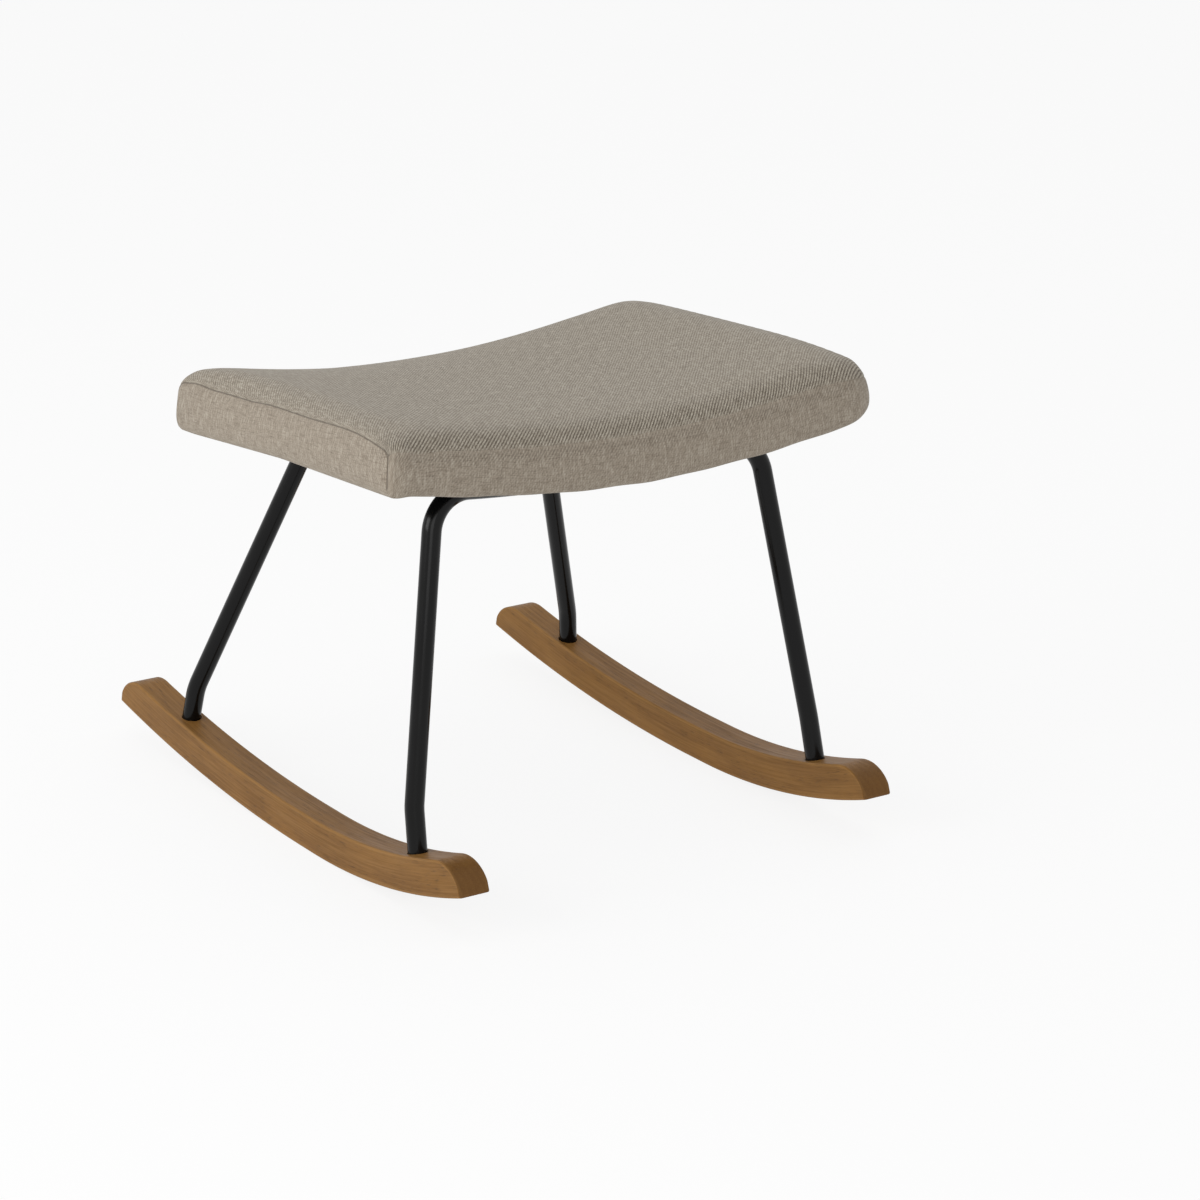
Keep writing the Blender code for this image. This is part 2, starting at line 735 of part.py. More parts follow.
def make_seat_fixings(screw_axes):
    """Tee nut in the board, washer and screw under the tab, at each of the four tabs."""
    nut_top = board_top() - FIT_GAP / 2
    washer_bottom = -TAB_DROP - TAB_THICKNESS - FIT_GAP - WASHER_THICKNESS
    head_top = washer_bottom - FIT_GAP
    reach = board_top() - NUT_FLANGE_THICKNESS - head_top
    nut, washer, bolt = tee_nut_mesh(), washer_mesh(), bolt_mesh("seat_bolt", reach)
    for (end, side), axes in screw_axes.items():
        add_part(f"tee_nut_{end}_{side}", nut, "zinc", axes, (0, 0, nut_top))
        add_part(f"seat_washer_{end}_{side}", washer, "zinc", axes, (0, 0, washer_bottom))
        add_part(f"seat_bolt_{end}_{side}", bolt, "zinc", axes, (0, 0, head_top))


def make_foot_fixings(feet):
    """Threaded insert in the tube, washer and screw in the runner's counterbore, at each of the four feet."""
    washer_bottom = COUNTERBORE_DEPTH - FIT_GAP - WASHER_THICKNESS
    head_top = washer_bottom - FIT_GAP
    insert_bottom = RUNNER_THICKNESS - SOCKET_DEPTH + FIT_GAP
    reach = insert_bottom + INSERT_LENGTH - SCREW_DIAMETER / 2 - head_top
    insert, washer, bolt = insert_mesh(), washer_mesh(), bolt_mesh("runner_bolt", reach)
    for (end, side), axes in feet.items():
        add_part(f"leg_insert_{end}_{side}", insert, "zinc", axes, (0, 0, insert_bottom))
        add_part(f"runner_washer_{end}_{side}", washer, "zinc", axes, (0, 0, washer_bottom))
        add_part(f"runner_bolt_{end}_{side}", bolt, "zinc", axes, (0, 0, head_top))


def main():
    clear_scene()
    make_collections()
    seat = add_axes("seat_axes", seat_matrix())
    feet = {}
    screw_axes = {}
    for end in ENDS:
        for side, way in SIDES.items():
            feet[end, side] = add_axes(f"foot_axes_{end}_{side}", foot_matrix(side, end))
            place = under_seat(way * TAB_SPACING / 2, screw_y(end))
            screw_axes[end, side] = add_axes(f"screw_axes_{end}_{side}", place, seat)
    make_runners(feet)
    cutter_mesh = screw_cutter_mesh()
    cutters = {}
    for (end, side), axes in screw_axes.items():
        cutters[end, side] = add_cutter(f"screw_cutter_{end}_{side}", cutter_mesh, axes)
    for end in ENDS:
        frame = make_frame(end, foot_matrix("right", end), screw_axes)
        for side in SIDES:
            boolean(frame, "DIFFERENCE", cutters[end, side])
    make_seat_board(seat, cutters.values())
    make_foam_pad(seat)
    make_main_cover(seat)
    for side in SIDES:
        make_end_cover(seat, side)
    make_dust_cover(seat, cutters.values())
    make_seat_fixings(screw_axes)
    make_foot_fixings(feet)


main()
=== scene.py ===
# %% [markdown]
# # Rocking footstool
#
# A low footstool: a padded seat that dips in the middle, two bent steel tubes for legs, and two curved
# wooden runners that let it rock. This notebook dresses the imported solids. The solids say where each piece
# is, and each cell here makes one piece look like the real thing.
#
# The first cell loads the solids as the frame.

# %% Load the frame
import json
import math

import bmesh
import bpy
import numpy as np
from mathutils import Matrix, Vector


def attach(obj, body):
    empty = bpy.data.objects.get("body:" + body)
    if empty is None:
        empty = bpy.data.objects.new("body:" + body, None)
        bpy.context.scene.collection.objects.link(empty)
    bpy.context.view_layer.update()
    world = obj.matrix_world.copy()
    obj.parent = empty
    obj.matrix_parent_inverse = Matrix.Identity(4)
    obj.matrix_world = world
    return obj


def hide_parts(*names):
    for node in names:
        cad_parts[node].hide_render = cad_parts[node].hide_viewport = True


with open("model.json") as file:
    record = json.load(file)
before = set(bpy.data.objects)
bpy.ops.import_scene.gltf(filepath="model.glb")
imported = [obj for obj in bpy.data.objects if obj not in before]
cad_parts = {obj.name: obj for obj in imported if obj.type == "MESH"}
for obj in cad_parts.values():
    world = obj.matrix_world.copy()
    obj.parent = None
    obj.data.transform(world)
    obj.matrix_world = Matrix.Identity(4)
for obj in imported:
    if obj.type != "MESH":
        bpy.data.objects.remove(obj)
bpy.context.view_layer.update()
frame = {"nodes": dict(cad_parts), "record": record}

# %% [markdown]
# ## Camera
#
# The photo was taken from the front left, a little above the seat, with a long lens. These numbers come
# from a camera fitted to the three printed sizes: its place, and the directions to its right, up and back,
# which are the columns of the small matrix. The picture is cropped off centre, and the lens shift does the
# same here.

# %% Camera
CAMERA_PLACE = (-1.73304, -2.66060, 1.22052)
CAMERA_AXES = ((0.83899, 0.16159, -0.51961), (-0.54412, 0.25987, -0.79775), (0.00612, 0.95203, 0.30595))

camera_data = bpy.data.cameras.new("camera")
camera_data.sensor_width = 36
camera_data.lens = 118.3
camera_data.shift_x = 0.0883
camera_data.shift_y = -0.0308
camera_data.clip_end = 50
camera = bpy.data.objects.new("camera", camera_data)
bpy.context.scene.collection.objects.link(camera)
camera.matrix_world = Matrix.Translation(CAMERA_PLACE) @ Matrix(CAMERA_AXES).to_4x4()
bpy.context.scene.camera = camera
bpy.context.scene.view_settings.view_transform = "Standard"
print("camera", round(Vector(CAMERA_PLACE).length, 2), "m from the stool")

# %% [markdown]
# ## Material helpers
#
# Every finish is a small graph of nodes. The helpers below keep each graph short: `node` adds one node and
# wires its inputs, and the rest are the few that all the finishes share.

# %% Node helpers
def new_material(name):
    material = bpy.data.materials.new(name)
    material.use_nodes = True
    return material, material.node_tree


def node(tree, kind, inputs=None, **settings):
    """Add a node, set it up, wire or fill its inputs, and give back its outputs."""
    made = tree.nodes.new("ShaderNode" + kind)
    for key, value in settings.items():
        setattr(made, key, value)
    for key, value in (inputs or {}).items():
        if isinstance(value, bpy.types.NodeSocket):
            tree.links.new(value, made.inputs[key])
        else:
            made.inputs[key].default_value = value
    return made.outputs


def calc(tree, operation, *values):
    return node(tree, "Math", dict(enumerate(values)), operation=operation)[0]


def add_scaled(tree, base, value, factor):
    """base + value * factor"""
    return calc(tree, "ADD", base, calc(tree, "MULTIPLY", value, factor))


def remap(tree, value, low, high, new_low=0.0, new_high=1.0):
    """Values from low to high become new_low to new_high, eased at both ends."""
    inputs = {"Value": value, "From Min": low, "From Max": high, "To Min": new_low, "To Max": new_high}
    return node(tree, "MapRange", inputs, interpolation_type="SMOOTHSTEP")[0]


def kept_value(tree, name):
    """A number that the mesh keeps with each of its points."""
    return node(tree, "Attribute", attribute_name=name)["Fac"]


# %% [markdown]
# Noise is the pattern behind almost every natural surface. One scale makes round clouds, and three stretch
# them into fibres or yarns. Colours are given as they look on a screen, from 0 to 255, and turned into
# light values.

# %% Patterns and colours
def noise(tree, vector, scale, detail=3.0, roughness=0.5):
    if isinstance(scale, tuple):
        vector = node(tree, "VectorMath", {0: vector, 1: scale}, operation="MULTIPLY")[0]
        scale = 1.0
    inputs = {"Vector": vector, "Scale": scale, "Detail": detail, "Roughness": roughness}
    return node(tree, "TexNoise", inputs)[0]


def mix(tree, factor, first, second):
    return node(tree, "Mix", {0: factor, 6: first, 7: second}, data_type="RGBA")[2]


def rgb(red, green, blue):
    def linear(value):
        value /= 255
        return value / 12.92 if value <= 0.04045 else ((value + 0.055) / 1.055) ** 2.4
    return (linear(red), linear(green), linear(blue), 1.0)


def finish(material, colour, roughness, height=None, bump=0.0, depth=0.001, **sockets):
    """Wire colour, roughness and bump to the surface, and set its plain values."""
    tree = material.node_tree
    shader = tree.nodes["Principled BSDF"]
    tree.links.new(colour, shader.inputs["Base Color"])
    tree.links.new(roughness, shader.inputs["Roughness"])
    if height is not None:
        relief = node(tree, "Bump", {"Strength": bump, "Distance": depth, "Height": height})
        tree.links.new(relief[0], shader.inputs["Normal"])
    for name, value in sockets.items():
        shader.inputs[name.replace("_", " ")].default_value = value
    print("finish", material.name, len(tree.nodes), "nodes")


# %% [markdown]
# ## Wood of the runners
#
# The runners are oak under a brown stain. Their growth rings lie as layers across the runner's width, so
# they show as long stripes on the top and as soft flames on the sides. Open pores run with the grain as
# short dark dashes. The rounded edges are painted a little lighter. On the rounded noses the surface turns
# across the grain, and the open ends of the fibres drink in more stain, so they read darker. The pattern
# hangs on one attribute of the mesh: how far across, along and up the runner a point is. Two more say how
# much a point lies on a rounded edge and how much a place shows end grain.

# %% Wood
RING_WIDTH = 0.0062
RING_TILT = 0.18
EARLY_WOOD = rgb(129, 91, 44)
LATE_WOOD = rgb(138, 99, 50)
DARK_FIBRE = rgb(105, 71, 32)
LIGHT_BLOTCH = rgb(148, 106, 51)
PORE = rgb(62, 40, 18)
LIGHTER_EDGE = rgb(172, 130, 76)
END_GRAIN = rgb(88, 58, 27)


def make_wood():
    material, tree = new_material("stained_oak")
    place = node(tree, "Attribute", attribute_name="grain")["Vector"]
    across, _, up = node(tree, "SeparateXYZ", {0: place})[:3]
    rings = add_scaled(tree, across, noise(tree, place, (9, 3.2, 14), detail=2), 0.034)
    rings = add_scaled(tree, rings, noise(tree, place, (60, 9, 60), detail=2), 0.003)
    rings = add_scaled(tree, rings, up, RING_TILT)
    phase = calc(tree, "FRACT", calc(tree, "DIVIDE", rings, RING_WIDTH))
    late = calc(tree, "MULTIPLY", remap(tree, phase, 0.05, 0.75), remap(tree, phase, 1.0, 0.9))
    fibre = noise(tree, place, (800, 16, 800), detail=4, roughness=0.65)
    blotch = noise(tree, place, (50, 14, 50), detail=3)
    pore = noise(tree, place, (1500, 75, 1500), detail=1)
    pores = calc(tree, "MULTIPLY", remap(tree, pore, 0.58, 0.72), remap(tree, phase, 0.8, 0.1, 0.3, 1.0))
    colour = mix(tree, late, EARLY_WOOD, LATE_WOOD)
    colour = mix(tree, remap(tree, fibre, 0.32, 0.68, 0.0, 0.62), colour, DARK_FIBRE)
    colour = mix(tree, remap(tree, blotch, 0.35, 0.7, 0.0, 0.40), colour, LIGHT_BLOTCH)
    colour = mix(tree, calc(tree, "MULTIPLY", pores, 0.60), colour, PORE)
    # The rounded edges are painted a little lighter.
    colour = mix(tree, calc(tree, "MULTIPLY", kept_value(tree, "edge"), 0.25), colour, LIGHTER_EDGE)
    across_grain = remap(tree, kept_value(tree, "end_grain"), 0.10, 0.80, 0.0, 0.62)
    colour = mix(tree, across_grain, colour, END_GRAIN)
    rough = remap(tree, fibre, 0.3, 0.7, 0.42, 0.55)
    height = calc(tree, "SUBTRACT", calc(tree, "MULTIPLY", fibre, 0.35), pores)
    finish(material, colour, rough, height, bump=0.25, depth=0.0004, Specular_IOR_Level=0.16)
    return material


wood = make_wood()

# %% [markdown]
# ## Runners
#
# On the real stool each runner is cut from a plank along two arcs and then rounded over on a router. The
# sole is a tighter arc in front of the low point and a flatter one behind it. Here each runner is a row of
# cross-sections swept along that sole. Towards each end the sections get lower, which makes the rounded
# nose. The sweep gives clean quads all over, so the edges can be rounded finely and the grain can follow
# the bend.
#
# The first cell holds the sizes and turns a distance along the sole into a place.

# %% Runner sole
RUNNER_LENGTH = 0.56
RUNNER_SPACING = 0.396
RUNNER_WIDTH = 0.028
RUNNER_THICKNESS = 0.0305
LOW_POINT_Y = -0.045
LOW_POINT_FLAT = 0.02
ROCK_RADIUS = {-1: 0.66, 1: 1.58}


def sole_length(way):
    """Distance along the sole from the low point to the front tip, for way -1, or the rear tip, for way 1."""
    radius = ROCK_RADIUS[way]
    run = RUNNER_LENGTH / 2 - way * LOW_POINT_Y - LOW_POINT_FLAT / 2
    return LOW_POINT_FLAT / 2 + radius * math.asin(run / radius)


def sole_angle(distance):
    if abs(distance) <= LOW_POINT_FLAT / 2:
        return 0.0
    radius = ROCK_RADIUS[-1 if distance < 0 else 1]
    return math.copysign(abs(distance) - LOW_POINT_FLAT / 2, distance) / radius


def on_runner(distance, height):
    """(y, z) at a distance along the sole from the low point, and at a height square to the sole."""
    angle = sole_angle(distance)
    if angle == 0.0:
        return LOW_POINT_Y + distance, height
    radius = ROCK_RADIUS[-1 if distance < 0 else 1]
    flat = math.copysign(LOW_POINT_FLAT / 2, distance)
    reach = radius - height
    return LOW_POINT_Y + flat + reach * math.sin(angle), radius - reach * math.cos(angle)


print("sole", [round(sole_length(way), 4) for way in (-1, 1)], "m before and behind the low point")

# %% [markdown]
# Each nose is a quarter of an ellipse that ends in a thin lip, and its last sections also pull in at the
# sides, so that no edge stays sharp. A cross-section has four rounded corners. Its points on the flats
# stand close to the corners, so that the rounding ends there and the flats stay flat.

# %% Runner sections
NOSE_LENGTH = 0.032
NOSE_LIP = 0.003
NOSE_STEPS = 28
MIDDLE_STEPS = 71
EDGE_RADIUS = 0.0015
EDGE_STEPS = 5
FLAT_SHARES = (0.04, 0.15, 0.5, 0.85, 0.96)


def runner_stations():
    """(distance along the sole, height, how much the sides pull in) of each section, from front to rear."""
    nose = []
    for k in range(NOSE_STEPS + 1):
        angle = math.pi / 2 * k / NOSE_STEPS
        back = NOSE_LENGTH * (1 - math.cos(angle))
        gap = max(0.0, EDGE_RADIUS - back)
        pull = EDGE_RADIUS - math.sqrt(EDGE_RADIUS**2 - gap**2)
        nose.append((back, NOSE_LIP + (RUNNER_THICKNESS - NOSE_LIP) * math.sin(angle), pull))
    front, rear = -sole_length(-1), sole_length(1)
    middle = np.linspace(front + NOSE_LENGTH, rear - NOSE_LENGTH, MIDDLE_STEPS + 1)[1:-1]
    stations = [(front + back, height, pull) for back, height, pull in nose]
    stations += [(float(s), RUNNER_THICKNESS, 0.0) for s in middle]
    return stations + [(rear - back, height, pull) for back, height, pull in reversed(nose)]


def section_loop(height, pull):
    """(x, height, 1 on a rounded edge and 0 on a flat) round one cross-section. In a thin lip the corners get
    a smaller radius.
    """
    half = RUNNER_WIDTH / 2 - pull
    radius = min(EDGE_RADIUS, height * 0.45)
    flat_x, flat_z = half - radius, height - 2 * radius
    loop = []
    corners = [(flat_x, height - radius), (-flat_x, height - radius), (-flat_x, radius), (flat_x, radius)]
    runs = [(-1, 0, 2 * flat_x), (0, -1, flat_z), (1, 0, 2 * flat_x), (0, 1, flat_z)]
    for corner, ((cx, cz), (dx, dz, run)) in enumerate(zip(corners, runs)):
        for k in range(EDGE_STEPS + 1):
            angle = math.pi / 2 * (corner + k / EDGE_STEPS)
            loop.append((cx + radius * math.cos(angle), cz + radius * math.sin(angle), 1.0))
        x, z = loop[-1][:2]
        for share in FLAT_SHARES:
            loop.append((x + dx * run * share, z + dz * run * share, 0.0))
    return loop


# %% [markdown]
# Rings of points become a skin when each ring is joined to the next by quads and the two ends get a cap.
# The tubes and the screw tabs are made the same way later, so the helpers are kept apart. `keep` stores a
# number or a direction with every point, where a material can read it.

# %% Runner mesh
GRAIN_SHIFT = 0.31


def new_mesh(name, points, faces):
    mesh = bpy.data.meshes.new(name)
    mesh.from_pydata(points, [], faces)
    return mesh


def ring_faces(rows, count, closed=False):
    """Quads between neighbouring rings of points. If closed, the last ring is joined to the first one too."""
    total = rows * count
    faces = []
    for row in range(rows if closed else rows - 1):
        for k in range(count):
            a, b = row * count + k, row * count + (k + 1) % count
            faces.append((a, b, (b + count) % total, (a + count) % total))
    return faces


def cap_faces(rows, count):
    """The faces that close the first and the last ring."""
    last = (rows - 1) * count
    return [tuple(range(count - 1, -1, -1)), tuple(range(last, last + count))]


def keep(mesh, name, values):
    values = np.asarray(values)
    kind, key = ("FLOAT", "value") if values.ndim == 1 else ("FLOAT_VECTOR", "vector")
    mesh.attributes.new(name, kind, "POINT").data.foreach_set(key, np.ravel(values))


def make_runner(side, way):
    """One runner. Its grain is shifted by the side it is on, so that the two runners differ."""
    stations = runner_stations()
    points, grain, edge, along = [], [], [], []
    for distance, height, pull in stations:
        angle = sole_angle(distance)
        loop = section_loop(height, pull)
        for x, level, on_edge in loop:
            points.append((way * RUNNER_SPACING / 2 + x, *on_runner(distance, level)))
            grain.append((x + GRAIN_SHIFT * way, distance, level))
            edge.append(on_edge)
            along.append((0.0, math.cos(angle), math.sin(angle)))
    rows, count = len(stations), len(loop)
    mesh = new_mesh(f"runner_{side}", points, cap_faces(rows, count) + ring_faces(rows, count))
    keep(mesh, "grain", grain)
    keep(mesh, "edge", edge)
    keep(mesh, "end_grain", [abs(v.normal.dot(fibre)) for v, fibre in zip(mesh.vertices, along)])
    mesh.materials.append(wood)
    return mesh


# %% [markdown]
# Each foot of a tube sits in a blind socket bored square to the sole, and the screw that holds it comes up
# through a counterbore from below. The same cutter takes both out of the runner, and it leans with the
# foot. It is a profile turned round its axis, as on a lathe, from above the runner to below it.

# %% Feet and cutters
TUBE_DIAMETER = 0.016
FIT_GAP = 0.0003
SOCKET_DEPTH = 0.016
SOCKET_EASE = 0.0006
SCREW_HOLE_RADIUS = 0.0033
COUNTERBORE_RADIUS = 0.00685
COUNTERBORE_DEPTH = 0.007
CUT_PAST = 0.01
SIDES = {"left": -1, "right": 1}
ENDS = {
    "front": {"way": -1, "width": 0.312, "inset": 0.070, "foot": 0.158, "ankle": 0.036, "splay": 3},
    "rear": {"way": 1, "width": 0.226, "inset": 0.019, "foot": 0.227, "ankle": 0.028, "splay": 7},
}


def foot_matrix(way, end):
    """Axes of one foot: origin at the sole, Z up the foot, which leans out about the middle of its socket."""
    distance = end["way"] * end["foot"]
    y, z = on_runner(distance, 0)
    place = Matrix.Translation((way * RUNNER_SPACING / 2, y, z))
    place @= Matrix.Rotation(sole_angle(distance), 4, "X")
    pivot = Matrix.Translation((0, 0, RUNNER_THICKNESS - SOCKET_DEPTH / 2))
    return place @ pivot @ Matrix.Rotation(-way * math.radians(end["splay"]), 4, "Y") @ pivot.inverted()


def turned(profile, sides=48):
    """A closed solid from (radius, height) points, turned round Z."""
    points = [(0, 0, profile[0][1])]
    for radius, height in profile:
        for k in range(sides):
            angle = 2 * math.pi * k / sides
            points.append((radius * math.cos(angle), radius * math.sin(angle), height))
    points.append((0, 0, profile[-1][1]))
    faces = []
    for k in range(sides):
        nxt = (k + 1) % sides
        faces.append((0, 1 + k, 1 + nxt))
        for row in range(len(profile) - 1):
            a, b = 1 + row * sides, 1 + (row + 1) * sides
            faces.append((a + k, b + k, b + nxt, a + nxt))
        last = 1 + (len(profile) - 1) * sides
        faces.append((len(points) - 1, last + nxt, last + k))
    return new_mesh("turned", points, faces)


def socket_cutter():
    socket, floor = TUBE_DIAMETER / 2 + FIT_GAP, RUNNER_THICKNESS - SOCKET_DEPTH
    return turned([
        (socket + SOCKET_EASE, RUNNER_THICKNESS + CUT_PAST),
        (socket + SOCKET_EASE, RUNNER_THICKNESS),
        (socket, RUNNER_THICKNESS - SOCKET_EASE),
        (socket, floor),
        (SCREW_HOLE_RADIUS, floor),
        (SCREW_HOLE_RADIUS, COUNTERBORE_DEPTH),
        (COUNTERBORE_RADIUS, COUNTERBORE_DEPTH),
        (COUNTERBORE_RADIUS, -CUT_PAST),
    ])


# %% [markdown]
# Blender cuts one shape from another with a modifier, and modifiers belong to objects. So the runner and
# its cutters become objects for a moment, the cut is worked into a new mesh, and only that mesh stays. A
# finished piece rides on the stool's one body, and the solids it stands for are hidden.

# %% Runners
SHARP_ANGLE = math.radians(40)


def helper_object(mesh):
    helper = bpy.data.objects.new(mesh.name, mesh)
    bpy.context.scene.collection.objects.link(helper)
    return helper


def worked_mesh(thing):
    """The object's mesh with its modifiers worked in. The object is removed."""
    bpy.context.view_layer.update()
    graph = bpy.context.evaluated_depsgraph_get()
    mesh = bpy.data.meshes.new_from_object(thing.evaluated_get(graph))
    bpy.data.objects.remove(thing, do_unlink=True)
    return mesh


def add_piece(name, mesh, slot_name, *nodes):
    """Put a finished mesh on the stool's body in the place of these solids, which are hidden. slot_name is
    not used.
    """
    piece = bpy.data.objects.new(name, mesh)
    bpy.context.scene.collection.objects.link(piece)
    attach(piece, "root")
    if nodes:
        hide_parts(*nodes)
    print(name, len(mesh.vertices), "points")
    return piece


for side, way in SIDES.items():
    runner = helper_object(make_runner(side, way))
    cutters = []
    for end in ENDS.values():
        cutter = helper_object(socket_cutter())
        cutter.matrix_world = foot_matrix(way, end)
        cut = runner.modifiers.new("socket", "BOOLEAN")
        cut.operation = "DIFFERENCE"
        cut.object = cutter
        cutters.append(cutter)
    mesh = worked_mesh(runner)
    for cutter in cutters:
        bpy.data.objects.remove(cutter, do_unlink=True)
    mesh.shade_smooth()
    mesh.set_sharp_from_angle(angle=SHARP_ANGLE)
    add_piece(f"oak_runner_{side}", mesh, "wood", f"runner_{side}")

# %% [markdown]
# ## Steel frames
#
# Two round tubes, each bent from one length: up from one foot, across under the seat along its dip, and
# down to the other foot. The centre line repeats the one of the solids, with finer bends. The finish is a
# satin black powder coat, which has a faint orange-peel texture and is a little glossier where it lies
# thick.

# %% Powder coat
def make_powder_coat():
    material, tree = new_material("powder_coat")
    place = node(tree, "TexCoord")["Object"]
    peel = noise(tree, place, 900, detail=2)
    cloud = noise(tree, place, 35, detail=2)
    colour = mix(tree, cloud, rgb(5, 5, 5), rgb(9, 9, 9))
    rough = remap(tree, cloud, 0.3, 0.7, 0.15, 0.20)
    finish(material, colour, rough, peel, bump=0.08, depth=0.0001, Specular_IOR_Level=0.2)
    return material


powder_coat = make_powder_coat()

# %% [markdown]
# The seat is built flat and then bent to a saddle. Its height grows with the square of the distance from
# the middle, and at the end it is tilted a little to the rear. Tubes, tabs and staples follow the same
# saddle.

# %% Saddle of the seat
SEAT_WIDTH = 0.48
SEAT_DEPTH = 0.35
SEAT_DIP = 0.0226
SEAT_PLACE = (0, -0.049, 0.3199)
SEAT_TILT = -3.5
seat = Matrix.Translation(SEAT_PLACE) @ Matrix.Rotation(math.radians(SEAT_TILT), 4, "X")


def dip(x):
    """Height of the saddle over its middle."""
    return SEAT_DIP * (2 * x / SEAT_WIDTH) ** 2


def dip_slope(x):
    return 8 * SEAT_DIP * x / SEAT_WIDTH**2


def under_seat(x, y):
    return Matrix.Translation((x, y, dip(x))) @ Matrix.Rotation(-math.atan(dip_slope(x)), 4, "Y")


print("seat dips", round(dip(SEAT_WIDTH / 2) * 1000, 1), "mm")

# %% [markdown]
# A bend in a tube is an arc that touches both straight runs. `rounded_corner` finds it from the three
# corner points: the centre lies on the line that halves the angle, and the arc turns about an axis square
# to both runs.

# %% Frame path
UPPER_BEND_RADIUS = 0.034
LOWER_BEND_RADIUS = 0.06
BAR_STEPS = 12
UPPER_BEND_STEPS = 20
LOWER_BEND_STEPS = 10


def rounded_corner(before, corner, after, radius, steps):
    back, on = (before - corner).normalized(), (after - corner).normalized()
    half = back.angle(on) / 2
    centre = corner + (back + on).normalized() * (radius / math.sin(half))
    start = corner + back * (radius / math.tan(half)) - centre
    end = corner + on * (radius / math.tan(half)) - centre
    axis, sweep = start.cross(end).normalized(), start.angle(end)
    return [centre + Matrix.Rotation(sweep * k / steps, 3, axis) @ start for k in range(steps + 1)]


def frame_path(end):
    """Centre line of one tube, from its left foot to its right foot."""
    foot = foot_matrix(1, end)
    y = end["way"] * (SEAT_DEPTH / 2 - end["inset"])
    last_x = end["width"] / 2 - UPPER_BEND_RADIUS

    def bar_point(x):
        return seat @ under_seat(x, y) @ Vector((0, 0, -TUBE_DIAMETER / 2 - FIT_GAP))

    bar_end = bar_point(last_x)
    corner = bar_end + (seat.to_3x3() @ Vector((1, 0, dip_slope(last_x)))) * UPPER_BEND_RADIUS
    ankle = foot @ Vector((0, 0, RUNNER_THICKNESS + end["ankle"]))
    tip = foot @ Vector((0, 0, RUNNER_THICKNESS - SOCKET_DEPTH + FIT_GAP))
    right = [bar_point(last_x * k / BAR_STEPS) for k in range(1, BAR_STEPS)]
    right += rounded_corner(bar_end, corner, ankle, UPPER_BEND_RADIUS, UPPER_BEND_STEPS)
    right += rounded_corner(corner, ankle, tip, LOWER_BEND_RADIUS, LOWER_BEND_STEPS) + [tip]
    return [Vector((-p.x, p.y, p.z)) for p in reversed(right)] + [bar_point(0)] + right


def swept_tube(path, radius, sides=40, taper=None):
    """A round bar along a path, in rings that don't twist, closed at both ends."""
    points = []
    tangent = (path[1] - path[0]).normalized()
    normal = tangent.orthogonal().normalized()
    for k, place in enumerate(path):
        new = (path[min(k + 1, len(path) - 1)] - path[max(k - 1, 0)]).normalized()
        normal = (tangent.rotation_difference(new) @ normal).normalized()
        tangent = new
        side = tangent.cross(normal)
        size = radius * (taper[k] if taper else 1)
        for n in range(sides):
            angle = 2 * math.pi * n / sides
            points.append(place + (normal * math.cos(angle) + side * math.sin(angle)) * size)
    return new_mesh("tube", points, ring_faces(len(path), sides) + cap_faces(len(path), sides))


# %% [markdown]
# Four flat tabs are welded to the crossbars, two on each, and carry the seat's screws. Each is a steel
# plate with a round end and a hole. Its skin runs round in six rings: four down the outside and two up the
# hole.

# %% Screw tabs
TAB_SPACING = 0.150
TAB_REACH = 0.022
TAB_THICKNESS = 0.003
TAB_DROP = 0.0008
TAB_RADIUS = 0.011
TAB_BITE = 0.004
TAB_EASE = 0.0004


def tab_mesh(way):
    """A plate with a round end about its hole. Its other end bites into the tube."""
    radius, bite, eased = TAB_RADIUS, TAB_REACH - TAB_BITE, 1 - TAB_EASE / TAB_RADIUS
    outline = []
    for k in range(25):
        angle = math.pi * k / 24
        outline.append((radius * math.cos(angle), -way * radius * math.sin(angle)))
    outline += [(-radius, way * bite * k / 6) for k in range(1, 7)]
    outline += [(-radius + 2 * radius * k / 6, way * bite) for k in range(1, 7)]
    outline += [(radius, way * bite * (6 - k) / 6) for k in range(1, 6)]
    rings = [(eased, 0.0), (1, -TAB_EASE), (1, TAB_EASE - TAB_THICKNESS), (eased, -TAB_THICKNESS)]
    points = [(x * size, y * size, z) for size, z in rings for x, y in outline]
    for z in (-TAB_THICKNESS, 0.0):
        for x, y in outline:
            angle = math.atan2(y, x)
            points.append((SCREW_HOLE_RADIUS * math.cos(angle), SCREW_HOLE_RADIUS * math.sin(angle), z))
    return new_mesh("tab", points, ring_faces(len(rings) + 2, len(outline), closed=True))


# %% [markdown]
# The weld shows as a row of small overlapping beads where plate and tube meet. A bar that swells and thins
# along its length gives that. Tube, tabs and welds of a frame are then joined into one mesh, as they are
# one welded piece.

# %% Welds and frames
WELD_RADIUS = 0.0019
WELD_HALF_LENGTH = 0.0105
WELD_BEADS = 9
BEAD_STEPS = 6
WELD_OUT = 0.0012
WELD_DOWN = 0.0002


def weld_bar(start, end):
    steps = WELD_BEADS * BEAD_STEPS
    path = [start.lerp(end, k / steps) for k in range(steps + 1)]
    taper = [0.78 + 0.22 * abs(math.sin(math.pi * k * WELD_BEADS / steps)) for k in range(steps + 1)]
    taper[0] = taper[-1] = 0.3
    return swept_tube(path, WELD_RADIUS, sides=12, taper=taper)


def join(meshes, name):
    work = bmesh.new()
    for mesh in meshes:
        work.from_mesh(mesh)
    bmesh.ops.recalc_face_normals(work, faces=work.faces)
    joined = bpy.data.meshes.new(name)
    work.to_mesh(joined)
    work.free()
    return joined


